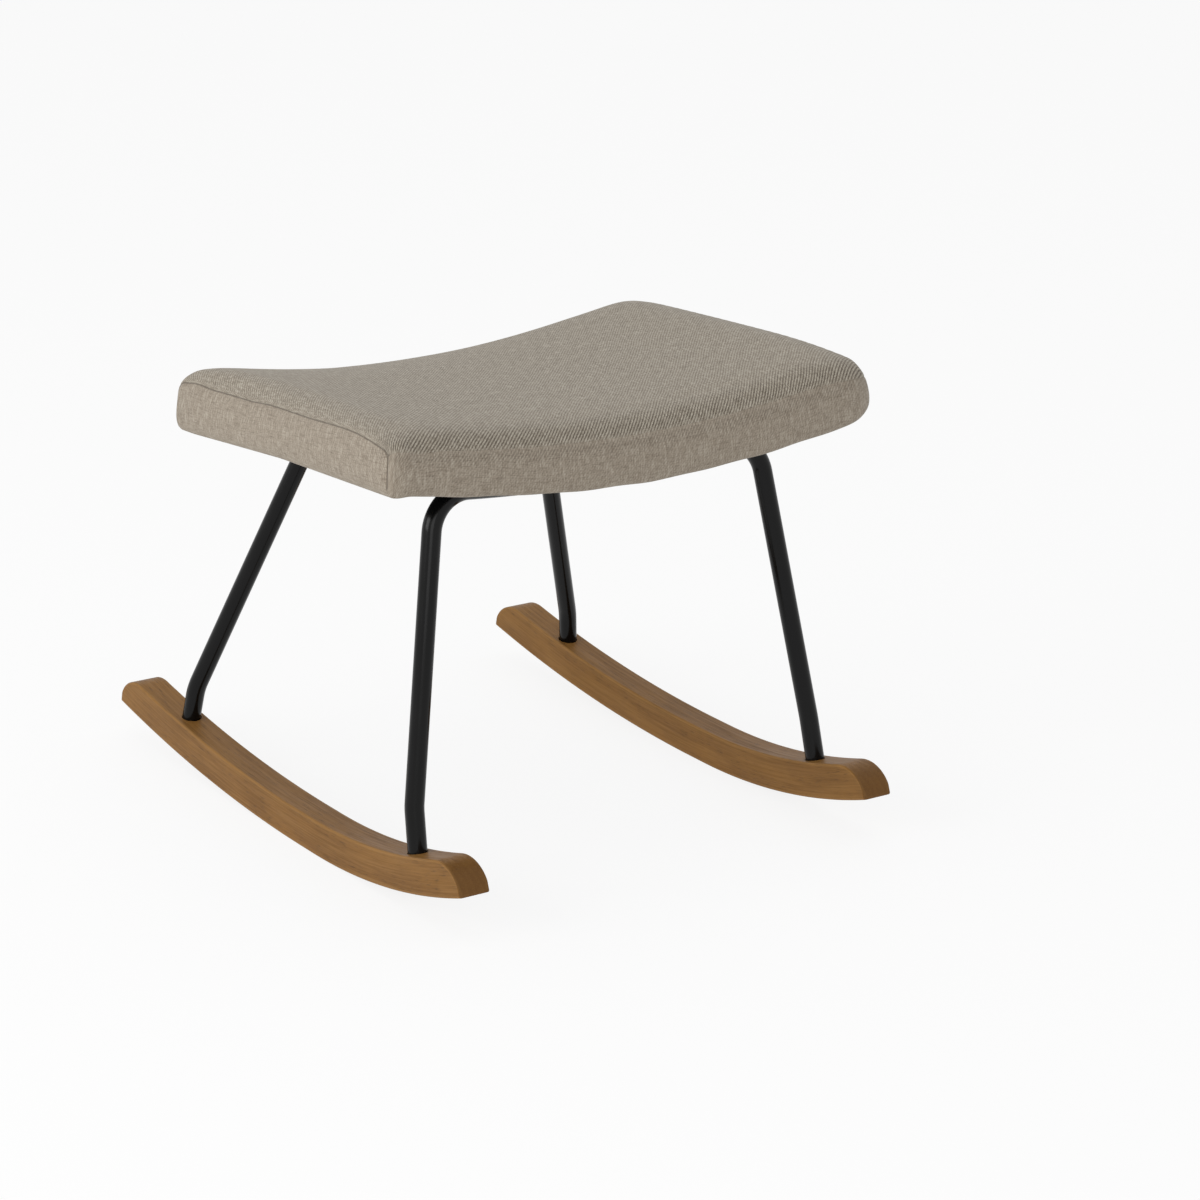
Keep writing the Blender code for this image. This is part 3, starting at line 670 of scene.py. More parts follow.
for name, end in ENDS.items():
    parts = [swept_tube(frame_path(end), TUBE_DIAMETER / 2)]
    bar = end["way"] * (SEAT_DEPTH / 2 - end["inset"])
    weld_y, weld_z = end["way"] * (TAB_REACH - TUBE_DIAMETER / 2 + WELD_OUT), -TAB_THICKNESS - WELD_DOWN
    for way in SIDES.values():
        place = seat @ under_seat(way * TAB_SPACING / 2, bar - end["way"] * TAB_REACH)
        place @= Matrix.Translation((0, 0, -TAB_DROP))
        tab = tab_mesh(end["way"])
        tab.transform(place)
        weld = [place @ Vector((x, weld_y, weld_z)) for x in (-WELD_HALF_LENGTH, WELD_HALF_LENGTH)]
        parts += [tab, weld_bar(*weld)]
    mesh = join(parts, f"{name}_tube")
    mesh.materials.append(powder_coat)
    mesh.shade_smooth()
    mesh.set_sharp_from_angle(angle=SHARP_ANGLE)
    add_piece(f"{name}_tube_frame", mesh, "black_steel", f"{name}_frame")

# %% [markdown]
# ## Woven cloth
#
# The cover is a greige twill. Light yarns run one way and darker, browner ones the other, and each passes
# over two and under two, one step along in each row, which makes the fine diagonal. `twill` is a wave
# across that diagonal, in metres of cloth. It wanders a little and is broken up, because no yarn is quite
# even.

# %% Twill line
YARN = 0.0007
TWILL_LINE = 0.0023
TWILL_SLOPE = 0.94


def twill(tree, flat, strength):
    """1 where the light yarn is on top, 0 where the dark one is, and nearer to 0.5 with less strength."""
    across, along = node(tree, "SeparateXYZ", {0: flat})[:2]
    phase = add_scaled(tree, across, along, TWILL_SLOPE)
    phase = calc(tree, "DIVIDE", phase, TWILL_LINE * math.hypot(1, TWILL_SLOPE))
    phase = add_scaled(tree, phase, noise(tree, flat, 30, detail=1), 1.2)
    phase = add_scaled(tree, phase, noise(tree, flat, (620, 620, 1), detail=1), 0.45)
    line = calc(tree, "SINE", calc(tree, "MULTIPLY", phase, 2 * math.pi))
    over = calc(tree, "SUBTRACT", remap(tree, line, -0.8, 0.8), 0.5)
    broken = noise(tree, flat, (190, 190, 1), detail=2)
    fade = calc(tree, "MULTIPLY", remap(tree, broken, 0.30, 0.60, 0.45, 1.0), strength)
    return add_scaled(tree, 0.5, over, fade)


# %% [markdown]
# The yarn's tone changes every few millimetres: thicker places, called slubs, run along the yarns both
# ways, and small specks lie over both. The bands round the sides are cut another way and look plainer than
# the top, so the cloth is made twice. Along the rolled front edge shade is painted on the dark yarn, so the
# edge reads darker and its twill stronger. Short fibres catch the light at grazing angles, which is the
# sheen.

# %% Cloth material
WARP = rgb(129, 120, 105), rgb(190, 182, 167)
WEFT = rgb(90, 79, 66), rgb(150, 138, 122)
LIGHT_SLUB = rgb(198, 190, 175)
DARK_SLUB = rgb(92, 80, 66)
LIGHT_SPECK = rgb(205, 197, 183)
DARK_SPECK = rgb(78, 69, 57)
BAND_BROWN = rgb(150, 122, 100)
ROLLED_EDGE_SHADE = rgb(70, 61, 50)
STITCH = rgb(66, 57, 46)


def make_cloth(name, line_strength, browner):
    material, tree = new_material(name)
    flat = node(tree, "UVMap", uv_map="cloth")[0]
    over = twill(tree, flat, line_strength)
    warp_tone = noise(tree, flat, (1 / YARN, 160, 1), detail=2, roughness=0.6)
    weft_tone = noise(tree, flat, (160, 1 / YARN, 1), detail=2, roughness=0.6)
    slub_down = noise(tree, flat, (620, 75, 1), detail=2, roughness=0.6)
    slub_across = noise(tree, flat, (75, 620, 1), detail=2, roughness=0.6)
    speck = noise(tree, flat, 900, detail=2)
    warp = mix(tree, remap(tree, warp_tone, 0.25, 0.75), *WARP)
    weft = mix(tree, remap(tree, weft_tone, 0.25, 0.75), *WEFT)
    colour = mix(tree, over, weft, warp)
    colour = mix(tree, remap(tree, slub_down, 0.46, 0.66, 0.0, 0.34), colour, LIGHT_SLUB)
    colour = mix(tree, remap(tree, slub_across, 0.50, 0.32, 0.0, 0.36), colour, DARK_SLUB)
    colour = mix(tree, remap(tree, speck, 0.58, 0.75, 0.0, 0.35), colour, LIGHT_SPECK)
    colour = mix(tree, remap(tree, speck, 0.42, 0.25, 0.0, 0.40), colour, DARK_SPECK)
    colour = mix(tree, browner, colour, BAND_BROWN)
    # Painted shade along the rolled front edge, laid on the dark yarn.
    roll_shade = calc(tree, "MULTIPLY", kept_value(tree, "rolled"), calc(tree, "SUBTRACT", 0.62, over))
    colour = mix(tree, roll_shade, colour, ROLLED_EDGE_SHADE)
    stitch = remap(tree, kept_value(tree, "seam"), 0.0009, 0.0002)
    colour = mix(tree, calc(tree, "MULTIPLY", stitch, 0.60), colour, STITCH)
    height = add_scaled(tree, calc(tree, "MULTIPLY", over, 0.8), warp_tone, 0.35)
    height = add_scaled(tree, height, speck, 0.4)
    rough = remap(tree, speck, 0.3, 0.7, 0.86, 0.98)
    finish(material, colour, rough, height, bump=0.40, depth=0.0003, Sheen_Weight=0.10, Sheen_Roughness=0.5)
    return material


cloth_top = make_cloth("greige_twill", 1.15, 0.0)
cloth_band = make_cloth("greige_twill_band", 0.35, 0.10)

# %% [markdown]
# ## Cushion shape
#
# The upholsterer glues a block of foam on the curved board, pulls a sewn cover over it, turns it under and
# staples it. On the photo a seam runs round below the top edge and another stands at the front corner, so
# the cover is a top panel with bands sewn round it. Here the whole cushion is one closed surface.
# Cross-sections stand along the seat like slices of bread, each goes on round the underside, and a patch
# closes each end. Top, bands and patches share their edges, and those edges are the seams.
#
# In the photo the left end is crisp. The right end is fuller and rounder, and its front corner falls away,
# as happens with hand-pulled cloth. So each end has its own numbers: where its seam is, how wide its rounds
# are, and how far its top and sides draw in there.

# %% Cushion sizes
BODY_THICKNESS = 0.0485
HALF_DEPTH = SEAT_DEPTH / 2 - 0.0004
LENGTH_CROWN = 0.001
DEPTH_CROWN = 0.01
RIGHT_RISE = 0.0015
WAIST = 0.002
FRONT_ROUND = 0.024
REAR_ROUND = 0.022
LOW_ROUND = 0.006
LEFT_END = {
    "seam": 0.2366, "roll": 0.030, "drop": 0.0085, "plan_roll": 0.020, "front_in": 0.0095, "rear_in": 0.003,
    "front_round": 0.006, "rear_round": 0.010, "low_round": 0.004, "rear_low_round": 0.012, "lift": 0.0045,
    "hang": 0.0020, "bulge": 0.003, "tip": 0.0018,
    "front_corner": (0.0075, 0.045, 0.085), "rear_corner": (0.0035, 0.045, 0.050),
}
RIGHT_END = {
    "seam": 0.2380, "roll": 0.044, "drop": 0.0099, "plan_roll": 0.037, "front_in": 0.025, "rear_in": 0.006,
    "front_round": 0.022, "rear_round": 0.013, "low_round": 0.013, "rear_low_round": 0.010, "lift": 0.009,
    "hang": 0.0018, "bulge": 0.0085, "tip": 0.0,
    "front_corner": (0.0066, 0.068, 0.120), "rear_corner": (0.0030, 0.045, 0.050),
}

# %% [markdown]
# A few small functions do the drawing. `smoothstep` eases from 0 to 1, `arc` draws a quarter round, and
# `resample` spreads points anew along a line, so that every slice has the same number of them.

# %% Curves
ARC_STEPS = 16


def smoothstep(value):
    value = min(1.0, max(0.0, value))
    return value * value * (3 - 2 * value)


def between(first, second, share):
    return first + (second - first) * share


def graded(count, crowding):
    """Shares from 0 to 1 that stand closer together at both ends."""
    shares = []
    for k in range(count + 1):
        shares.append((1 - crowding) * k / count + crowding * (1 - math.cos(math.pi * k / count)) / 2)
    return shares


def arc(centre_y, centre_z, radius, first, squash=1.0):
    """A quarter round that starts at the angle given. Its height may be squashed."""
    angles = [first + math.pi / 2 * k / ARC_STEPS for k in range(ARC_STEPS + 1)]
    return [(centre_y + radius * math.cos(a), centre_z + radius * squash * math.sin(a)) for a in angles]


def resample(points, shares):
    """Points at these shares of a polyline's length."""
    line = np.array(points)
    length = np.concatenate([[0], np.cumsum(np.hypot(*np.diff(line, axis=0).T))])
    return np.stack([np.interp(np.array(shares) * length[-1], length, line[:, k]) for k in (0, 1)], 1)


def quarter_fall(gap, width):
    """0 away from the end and 1 at its seam, along a quarter of an ellipse."""
    return 1 - math.sqrt(1 - max(0.0, 1 - gap / width) ** 2)


def corner_fall(end_gap, edge_gap, sizes):
    """How far the top has fallen towards a corner, at these gaps from the end and from the edge."""
    most, reach_x, reach_y = sizes
    return most * smoothstep(1 - end_gap / reach_x) * max(0.0, 1 - edge_gap / reach_y) ** 2


# %% [markdown]
# The cover is turned under the board as a hem, and where the hem ends the underside steps up by a
# millimetre. At the edges the padding hangs a little below the board.

# %% Underside
HEM = 0.024
HEM_STEP = HEM - 0.0002, HEM + 0.0003
HEM_LAST = 0.0225
HEM_LEVEL = 0.0004
BOARD_LEVEL = 0.00135
HANG_START = 0.006
HANG_WIDTH = 0.013


def under_level(end_gap, inset, sag, hang):
    """Height of the underside at a distance in from the seat's edge."""
    low = sag * (1 - smoothstep((inset - HANG_START) / HANG_WIDTH))
    low = max(low, hang * (1 - smoothstep((end_gap - HANG_START) / HANG_WIDTH)))
    on_hem = inset < HEM or end_gap < HEM - 0.002
    return (HEM_LEVEL if on_hem else BOARD_LEVEL) - low


def hem_insets(round_size):
    """Distances in from the edge: across the hem, and close before and behind the step at its end."""
    return [round_size + (HEM_LAST - round_size) * k / 5 for k in range(1, 6)] + list(HEM_STEP)


# %% [markdown]
# The next cell draws one slice. Some of its numbers come from the photo: how much the lower front edge sags
# between the ends, with a slight wave, and how much lower the rear edge of the top is towards the left.
# Where the seat is too thin for both rounds of its front edge, they are squashed to fit, so that the cloth
# never folds back on itself.

# %% Cushion sections
SIDE_SHARES = graded(12, 0.55)
TOP_SHARES = graded(58, 0.75)
SIDE_CELLS = len(SIDE_SHARES) - 1
TOP_CELLS = len(TOP_SHARES) - 1
SEWN = 2 * SIDE_CELLS + TOP_CELLS
QUARTERS = (0, 0.25, 0.5, 0.75, 1)
FRONT_SEAM, REAR_SEAM = 11, 6
HALF_ARC = ARC_STEPS // 2
FRONT_SAG = (-0.24, -0.15, -0.07, 0.0, 0.1, 0.24), (-0.0005, 0.0008, 0.0030, 0.0046, 0.0042, 0.0036)
REAR_FALL = (-0.24, -0.10, 0.05, 0.15), (0.0015, 0.0042, 0.0020, 0.0)
REAR_FALL_WIDTH = 0.11


def front_edge_sag(x, gap, tip):
    wave = 0.0003 * math.sin(x / 0.0093 + 1.1) + 0.0002 * math.sin(x / 0.0147)
    return float(np.interp(x, *FRONT_SAG)) + wave + tip * math.exp(-((gap / 0.006) ** 2))


def cushion_section(x):
    """One slice across the seat at x, as a closed ring of (y, z) points from the rear bottom corner."""
    shape = RIGHT_END if x > 0 else LEFT_END
    gap = shape["seam"] - abs(x)
    middle = 1 - (2 * x / SEAT_WIDTH) ** 2
    fall, plan = quarter_fall(gap, shape["roll"]), quarter_fall(gap, shape["plan_roll"])
    tight, wide = smoothstep(1 - gap / shape["roll"]), smoothstep(1 - gap / shape["plan_roll"])
    top = BODY_THICKNESS + LENGTH_CROWN * middle - shape["drop"] * fall + RIGHT_RISE * smoothstep(x / 0.2)
    rear_half = HALF_DEPTH - WAIST * middle - shape["rear_in"] * fall
    front_half = HALF_DEPTH - WAIST * middle - shape["front_in"] * plan
    rear_round = between(REAR_ROUND, shape["rear_round"], tight)
    front_round = between(FRONT_ROUND, shape["front_round"], tight)
    low_round = between(LOW_ROUND, shape["low_round"], wide)
    rear_low_round = between(LOW_ROUND, shape["rear_low_round"], tight)
    lift = shape["lift"] * quarter_fall(gap, shape["lift"])
    front_sag = front_edge_sag(x, gap, shape["tip"])
    rear_sag = 0.0003 + 0.0020 * smoothstep((abs(x) - 0.11) / 0.05)
    rear_fall = float(np.interp(x, *REAR_FALL))

    def low(inset, sag):
        return under_level(gap, inset, sag, shape["hang"]) + lift

    def settled(y, level):
        level -= rear_fall * (1 - smoothstep((rear_half - y) / REAR_FALL_WIDTH))
        level -= corner_fall(gap, front_half + y, shape["front_corner"])
        return y, level - corner_fall(gap, rear_half - y, shape["rear_corner"])

    front_low, rear_low = low(low_round, front_sag), low(rear_low_round, rear_sag)
    room = settled(-front_half, top)[1] - front_low
    squash = min(1.0, 0.95 * room / (front_round + low_round))
    rear_bottom = arc(rear_half - rear_low_round, rear_low + rear_low_round, rear_low_round, -math.pi / 2)
    rear_top = [settled(*place) for place in arc(rear_half - rear_round, top - rear_round, rear_round, 0)]
    front_top = arc(front_round - front_half, top - front_round * squash, front_round, math.pi / 2, squash)
    front_top = [settled(*place) for place in front_top]
    front_bottom = arc(low_round - front_half, front_low + low_round * squash, low_round, math.pi, squash)
    start, stop = rear_half - rear_round, front_round - front_half
    crown = []
    for share in np.linspace(0, 1, 33)[1:-1]:
        rise = DEPTH_CROWN * share * (1 - share) * (1 - 0.5 * tight)
        crown.append(settled(start + (stop - start) * share, top + rise))
    ahead, behind = hem_insets(low_round), hem_insets(rear_low_round)
    inner = np.linspace(HEM + 0.008 - front_half, rear_half - HEM - 0.008, TOP_CELLS - 23)
    under = [(inset - front_half, low(inset, front_sag)) for inset in ahead]
    under += [(y, low(0.1, 0.0)) for y in inner]
    under += [(rear_half - inset, low(inset, rear_sag)) for inset in reversed(behind)]
    rear = resample(rear_bottom[HALF_ARC:] + rear_top[: REAR_SEAM + 1], SIDE_SHARES)
    over = resample(rear_top[REAR_SEAM:] + crown + front_top[: FRONT_SEAM + 1], TOP_SHARES)
    front = resample(front_top[FRONT_SEAM:] + front_bottom[: HALF_ARC + 1], SIDE_SHARES)
    last = resample(rear_bottom[: HALF_ARC + 1], QUARTERS)
    below = np.concatenate([resample(front_bottom[HALF_ARC:], QUARTERS), under, last])
    return np.concatenate([line[:-1] for line in (rear, over, front, below)])


# %% [markdown]
# The slices stand evenly along the middle of the seat and close together near the end seams, where the
# shape turns fastest. Two of them stand right before and behind the end of the hem.

# %% Slices
SEAM_GAPS = (0.0, 0.0015, 0.0032, 0.0052, 0.0076, 0.0104, 0.0138, 0.0175, 0.0216, 0.0222, 0.026, 0.031)
EVEN_GAP = 0.037
EVEN_SLICES = 30


def end_stations(shape):
    even = list(np.linspace(0, shape["seam"] - EVEN_GAP, EVEN_SLICES))
    return even + [shape["seam"] - gap for gap in reversed(SEAM_GAPS)]


stations = [-x for x in reversed(end_stations(LEFT_END))] + end_stations(RIGHT_END)[1:]
sections = [(x, cushion_section(x)) for x in stations]
ring = len(sections[0][1])
last_slice = (len(sections) - 1) * ring
print("cushion grid", len(sections), "slices of", ring, "points")

# %% [markdown]
# The end patch fills the last slice. Its four sides are the rear, top, front and bottom of that slice, and
# the points inside are blended from them, then pushed out a little in the middle, because the foam presses
# there.

# %% End patch
def end_patch(x, section):
    """{(row, column): (x, y, z)} of an end's inner points. Rows go up and columns go to the front."""
    way = 1 if x > 0 else -1
    bulge = (RIGHT_END if x > 0 else LEFT_END)["bulge"]
    rear, over = section[: SIDE_CELLS + 1], section[SIDE_CELLS : SIDE_CELLS + TOP_CELLS + 1]
    front = section[SIDE_CELLS + TOP_CELLS : SEWN + 1][::-1]
    under = np.concatenate([section[SEWN:], section[:1]])[::-1]
    patch = {}
    for row, b in list(enumerate(SIDE_SHARES))[1:-1]:
        for column, a in list(enumerate(TOP_SHARES))[1:-1]:
            point = (1 - b) * under[column] + b * over[column] + (1 - a) * rear[row] + a * front[row]
            point = point - (1 - a) * (1 - b) * rear[0] - a * (1 - b) * front[0]
            point = point - (1 - a) * b * rear[-1] - a * b * front[-1]
            out = bulge * (1 - abs(2 * b - 1) ** 3) * (1 - abs(2 * a - 1) ** 6)
            patch[row, column] = (x + way * out, point[0], point[1])
    return patch


# %% [markdown]
# Now the points are joined to faces. Each face also gets its place on the flat cloth, measured along the
# surface, so that the weave is never stretched. Each cell below is (its corners, its panel, their places on
# the cloth), and panel 0 is the top and panel 1 the bands.

# %% Cushion mesh
def running_length(lines):
    """Length along each line of points, from its first point."""
    steps = np.linalg.norm(np.diff(lines, axis=1), axis=2)
    return np.concatenate([np.zeros((len(lines), 1)), np.cumsum(steps, axis=1)], axis=1)


def body_cells(slices):
    across = running_length(slices.transpose(1, 0, 2)).T
    across -= across[len(sections) // 2]
    on_cloth = np.stack([across, running_length(slices)], 2).reshape(-1, 2)
    cells = []
    for i in range(len(sections) - 1):
        for j in range(ring):
            nxt = (j + 1) % ring
            corners = [i * ring + j, (i + 1) * ring + j, (i + 1) * ring + nxt, i * ring + nxt]
            coords = [tuple(on_cloth[c]) for c in corners]
            if nxt == 0:
                coords[2] = (coords[2][0], coords[1][1] + 0.001)
                coords[3] = (coords[3][0], coords[0][1] + 0.001)
            cells.append((corners, 0 if SIDE_CELLS <= j < SIDE_CELLS + TOP_CELLS else 1, coords))
    return cells


def end_cells(number, points):
    """The cells of one end patch. Its inner points are added to the list of points."""
    first = number * ring
    grid = {}
    for row in range(SIDE_CELLS + 1):
        grid[row, 0] = first + row
        grid[row, TOP_CELLS] = first + SEWN - row
    for column in range(TOP_CELLS + 1):
        grid[SIDE_CELLS, column] = first + SIDE_CELLS + column
        grid[0, column] = first + (ring - column) % ring
    for cell, place in end_patch(*sections[number]).items():
        grid[cell] = len(points)
        points.append(place)
    rows = [[points[grid[row, column]] for column in range(TOP_CELLS + 1)] for row in range(SIDE_CELLS + 1)]
    panel = np.array(rows)
    sideways, upward = running_length(panel), running_length(panel.transpose(1, 0, 2)).T
    sideways -= sideways[:, TOP_CELLS // 2 : TOP_CELLS // 2 + 1]
    cells = []
    for row in range(SIDE_CELLS):
        for column in range(TOP_CELLS):
            corners = [(row, column), (row, column + 1), (row + 1, column + 1), (row + 1, column)]
            corners = corners[::-1] if number == 0 else corners
            cells.append(([grid[c] for c in corners], 1, [(sideways[c], upward[c]) for c in corners]))
    return cells


def make_cushion_mesh():
    slices = np.array([[(x, y, z) for y, z in section] for x, section in sections])
    points = [tuple(place) for place in slices.reshape(-1, 3)]
    cells = body_cells(slices) + end_cells(0, points) + end_cells(len(sections) - 1, points)
    mesh = new_mesh("cushion", points, [corners for corners, _, _ in cells])
    layer = mesh.uv_layers.new(name="cloth")
    layer.data.foreach_set("uv", np.ravel([place for _, _, coords in cells for place in coords]))
    mesh.polygons.foreach_set("material_index", [panel for _, panel, _ in cells])
    mesh.materials.append(cloth_top)
    mesh.materials.append(cloth_band)
    return mesh


cushion_mesh = make_cushion_mesh()
work = bmesh.new()
work.from_mesh(cushion_mesh)
bmesh.ops.recalc_face_normals(work, faces=work.faces)
work.to_mesh(cushion_mesh)
print("edges that aren't shared by two faces:", sum(not edge.is_manifold for edge in work.edges))
work.free()

# %% [markdown]
# Two numbers are kept with every point. One is how far it is from the nearest seam: it steers the seam's
# groove and its dark line, and says where the cloth is held and how far it may swell. The seams along the
# front and rear are fainter than those at the ends. The other is 1 along the rolled front edge, where shade
# is painted into the cloth.

# %% Seam distance
FAINTER = 0.0006
ROLL_WIDTH = 0.035
ROLL_FOOT = 0.024


def points_of(mesh):
    return np.array([v.co for v in mesh.vertices])


def near_line(places, line):
    """Distance of every place from a polyline."""
    best = np.full(len(places), 1.0)
    for start, stop in zip(line[:-1], line[1:]):
        span = stop - start
        share = np.clip(((places - start) @ span) / (span @ span), 0, 1)
        best = np.minimum(best, np.linalg.norm(places - start - share[:, None] * span, axis=1))
    return best


places = points_of(cushion_mesh)
end_seams = [near_line(places, places[first : first + SEWN + 1]) for first in (0, last_slice)]
firsts = np.arange(len(sections)) * ring
front_seam = near_line(places, places[firsts + SIDE_CELLS + TOP_CELLS])
rear_seam = near_line(places, places[firsts + SIDE_CELLS])
distance = np.minimum(np.minimum(*end_seams), np.minimum(front_seam, rear_seam) + FAINTER)
keep(cushion_mesh, "seam", distance)
rolled = np.array([smoothstep(1.15 - (y + HALF_DEPTH) / ROLL_WIDTH) for y in places[:, 1]])
rolled *= np.clip((places[:, 2] - ROLL_FOOT) / 0.006, 0, 1) * np.clip(front_seam / 0.003, 0, 1)
keep(cushion_mesh, "rolled", rolled)
underside = np.zeros(len(places), bool)
for first in firsts:
    underside[first + SEWN + 3 : first + ring - 2] = True
print("cushion points", len(places), "of them", int(underside.sum()), "underneath")

# %% [markdown]
# The photo shows two more things about the left end. Its front corner stands more upright than the rest of
# that end, so its top moves out. Its rear half hangs lower, both at the seam and at the bottom edge. After
# that the flat-built cushion is bent to the saddle, and its ends stay square to the board.

# %% Left end and saddle
CORNER_LEAN = 0.005
LEAN_WIDTH = 0.06
LEAN_DEPTH = 0.26
DROP_WIDTH = 0.014
UPPER_DROP = (-0.12, -0.05, 0.02, 0.05, 0.115, 0.14), (0.0, 0.003, 0.0035, 0.0057, 0.0060, 0.0037)
LOWER_DROP = (0.0, 0.08, 0.14), (0.0, 0.0034, 0.0060)
REAR_OUT = 0.001
PANEL_HEIGHT = 0.04


def eased(values):
    values = np.clip(values, 0, 1)
    return values**2 * (3 - 2 * values)


def settle_left_end(points):
    x, y, z = points.T
    gap = x + LEFT_END["seam"]
    lean, near = eased(1 - gap / LEAN_WIDTH), eased(1 - gap / DROP_WIDTH)
    front = np.clip(1 - (y + HALF_DEPTH) / LEAN_DEPTH, 0, 1)
    rear = np.clip(y / HALF_DEPTH, 0, 1)
    height = np.clip(z / PANEL_HEIGHT, 0, 1)
    drop = height * np.interp(y, *UPPER_DROP) + (1 - height) * np.interp(y, *LOWER_DROP)
    out = (CORNER_LEAN * lean * front + REAR_OUT * near * rear) * height
    return np.stack([x - out, y, z - drop * near], 1)


def to_saddle(points):
    x, y, z = points.T
    return np.stack([x - dip_slope(x) * z, y, z + dip(x)], 1)


cushion_mesh.vertices.foreach_set("co", np.ravel(to_saddle(settle_left_end(places))))
cushion_mesh.update()
print("left end hangs", round(max(LOWER_DROP[1]) * 1000, 1), "mm lower at the rear")

# %% [markdown]
# ## Letting the padding swell
#
# The cushion was built slightly too small. Now the cover is treated as real cloth with a little air
# pressure in it, held at the underside and along the seams. It swells between them as a stuffed cover does.
# Each point keeps only its way outward, up to a limit, and the result is evened out, so the board inside
# stays covered and no sharp crease is left.

# %% Cloth simulation
FRAMES = 20
EVENING_ROUNDS = 12
HELD_WIDTH = 0.0025
LEAST_SWELL, MORE_SWELL = 0.0006, 0.0014
CLOTH = {
    "quality": 6, "mass": 0.3, "tension_stiffness": 12, "compression_stiffness": 12, "shear_stiffness": 4,
    "bending_stiffness": 0.4, "vertex_group_mass": "held", "use_pressure": True, "uniform_pressure_force": 4,
}


def evened(mesh, values, rounds):
    """The values, each drawn towards the mean of its neighbours."""
    pairs = np.array([edge.vertices for edge in mesh.edges])
    both = np.concatenate([pairs, pairs[:, ::-1]])
    neighbours = np.bincount(both[:, 0], minlength=len(values))
    for _ in range(rounds):
        mean = np.bincount(both[:, 0], weights=values[both[:, 1]], minlength=len(values)) / neighbours
        values = (values + mean) / 2
    return values


def add_cloth(pad, held):
    group = pad.vertex_groups.new(name="held")
    for number, weight in enumerate(held):
        if weight > 0:
            group.add([number], float(weight), "REPLACE")
    cloth = pad.modifiers.new("cloth", "CLOTH")
    for key, value in CLOTH.items():
        setattr(cloth.settings, key, value)
    cloth.settings.effector_weights.gravity = 0
    cloth.collision_settings.use_collision = False
    cloth.point_cache.frame_end = FRAMES


def swell(mesh, held, limit):
    pad = helper_object(mesh)
    add_cloth(pad, held)
    before = points_of(mesh)
    for step in range(1, FRAMES + 1):
        bpy.context.scene.frame_set(step)
    graph = bpy.context.evaluated_depsgraph_get()
    after = points_of(pad.evaluated_get(graph).data)
    normals = np.array([v.normal for v in mesh.vertices])
    outward = np.sum((after - before) * normals, axis=1)
    print("swelling", [round(float(v) * 1000, 1) for v in (outward.min(), outward.max())], "mm")
    outward = evened(mesh, np.clip(outward, 0, limit), EVENING_ROUNDS)
    outward[underside] = 0
    mesh.vertices.foreach_set("co", np.ravel(before + normals * outward[:, None]))
    bpy.data.objects.remove(pad, do_unlink=True)
    bpy.context.scene.frame_set(1)


held = np.clip(1 - distance / HELD_WIDTH, 0, 1) * 0.95
held[underside] = 1.0
limit = LEAST_SWELL + MORE_SWELL * np.clip((distance - 0.001) / 0.010, 0, 1)
limit[underside] = 0.0
swell(cushion_mesh, held, limit)

# %% [markdown]
# The surface is subdivided once, so that every curve is smooth, and then gets what the sewing does to it:
# the seam pulls in as a narrow groove, and the cloth beside it puckers a little between the stitches.

# %% Seams and puckers
GROOVE_DEPTH, GROOVE_WIDTH = 0.0006, 0.0011
PUCKER_HEIGHT, PUCKER_LENGTH = 0.00020, 0.0019
PUCKER_PLACE, PUCKER_WIDTH = 0.004, 0.003

pad = helper_object(cushion_mesh)
smooth = pad.modifiers.new("smooth", "SUBSURF")
smooth.levels = 1
smooth.render_levels = 1
cushion_mesh = worked_mesh(pad)
count = len(cushion_mesh.vertices)
seam, normals = np.zeros(count), np.zeros(count * 3)
cushion_mesh.attributes["seam"].data.foreach_get("value", seam)
cushion_mesh.vertex_normals.foreach_get("vector", normals)
places = points_of(cushion_mesh)
groove = -GROOVE_DEPTH * np.exp(-((seam / GROOVE_WIDTH) ** 2))
pucker = PUCKER_HEIGHT * np.sin((places[:, 0] + places[:, 1]) / PUCKER_LENGTH)
pucker *= np.exp(-(((seam - PUCKER_PLACE) / PUCKER_WIDTH) ** 2))
places += normals.reshape(-1, 3) * (groove + pucker)[:, None]
cushion_mesh.vertices.foreach_set("co", np.ravel(places))
cushion_mesh.transform(seat)
cushion_mesh.shade_smooth()
panels = ("cover_main", "cover_end_left", "cover_end_right")
cushion = add_piece("seat_cushion", cushion_mesh, "cloth", *panels, "foam_pad")

# %% [markdown]
# ## Dust cover
#
# The underside is closed with a thin black sheet of non-woven cloth, which overlaps the turned-under cover.
# It is stapled all round and stretched, so it only dips slightly. The sheet is a flat grid, bent to the
# saddle like the cushion, and its cloth shows fine fibres and the rows of small dots that bond them.

# %% Dust cover
DUST_X = SEAT_WIDTH / 2 - 0.0205
DUST_Y = SEAT_DEPTH / 2 - 0.0225
DUST_CELLS = 96, 70
DUST_LEVEL = 0.00020
DUST_WAVE = 0.00012


def make_dust_cloth():
    material, tree = new_material("black_nonwoven")
    place = node(tree, "UVMap", uv_map="cloth")[0]
    fibres = noise(tree, place, (900, 380, 1), detail=4, roughness=0.7)
    dots = node(tree, "TexVoronoi", {"Vector": place, "Scale": 620, "Randomness": 0.25})[0]
    dots = remap(tree, dots, 0.1, 0.3)
    colour = mix(tree, fibres, rgb(26, 26, 28), rgb(52, 52, 55))
    colour = mix(tree, calc(tree, "SUBTRACT", 1, dots), colour, rgb(20, 20, 22))
    rough = remap(tree, fibres, 0.3, 0.7, 0.85, 1.0)
    finish(material, colour, rough, calc(tree, "ADD", dots, fibres), bump=0.3, depth=0.0002, Sheen_Weight=0.1)
    return material


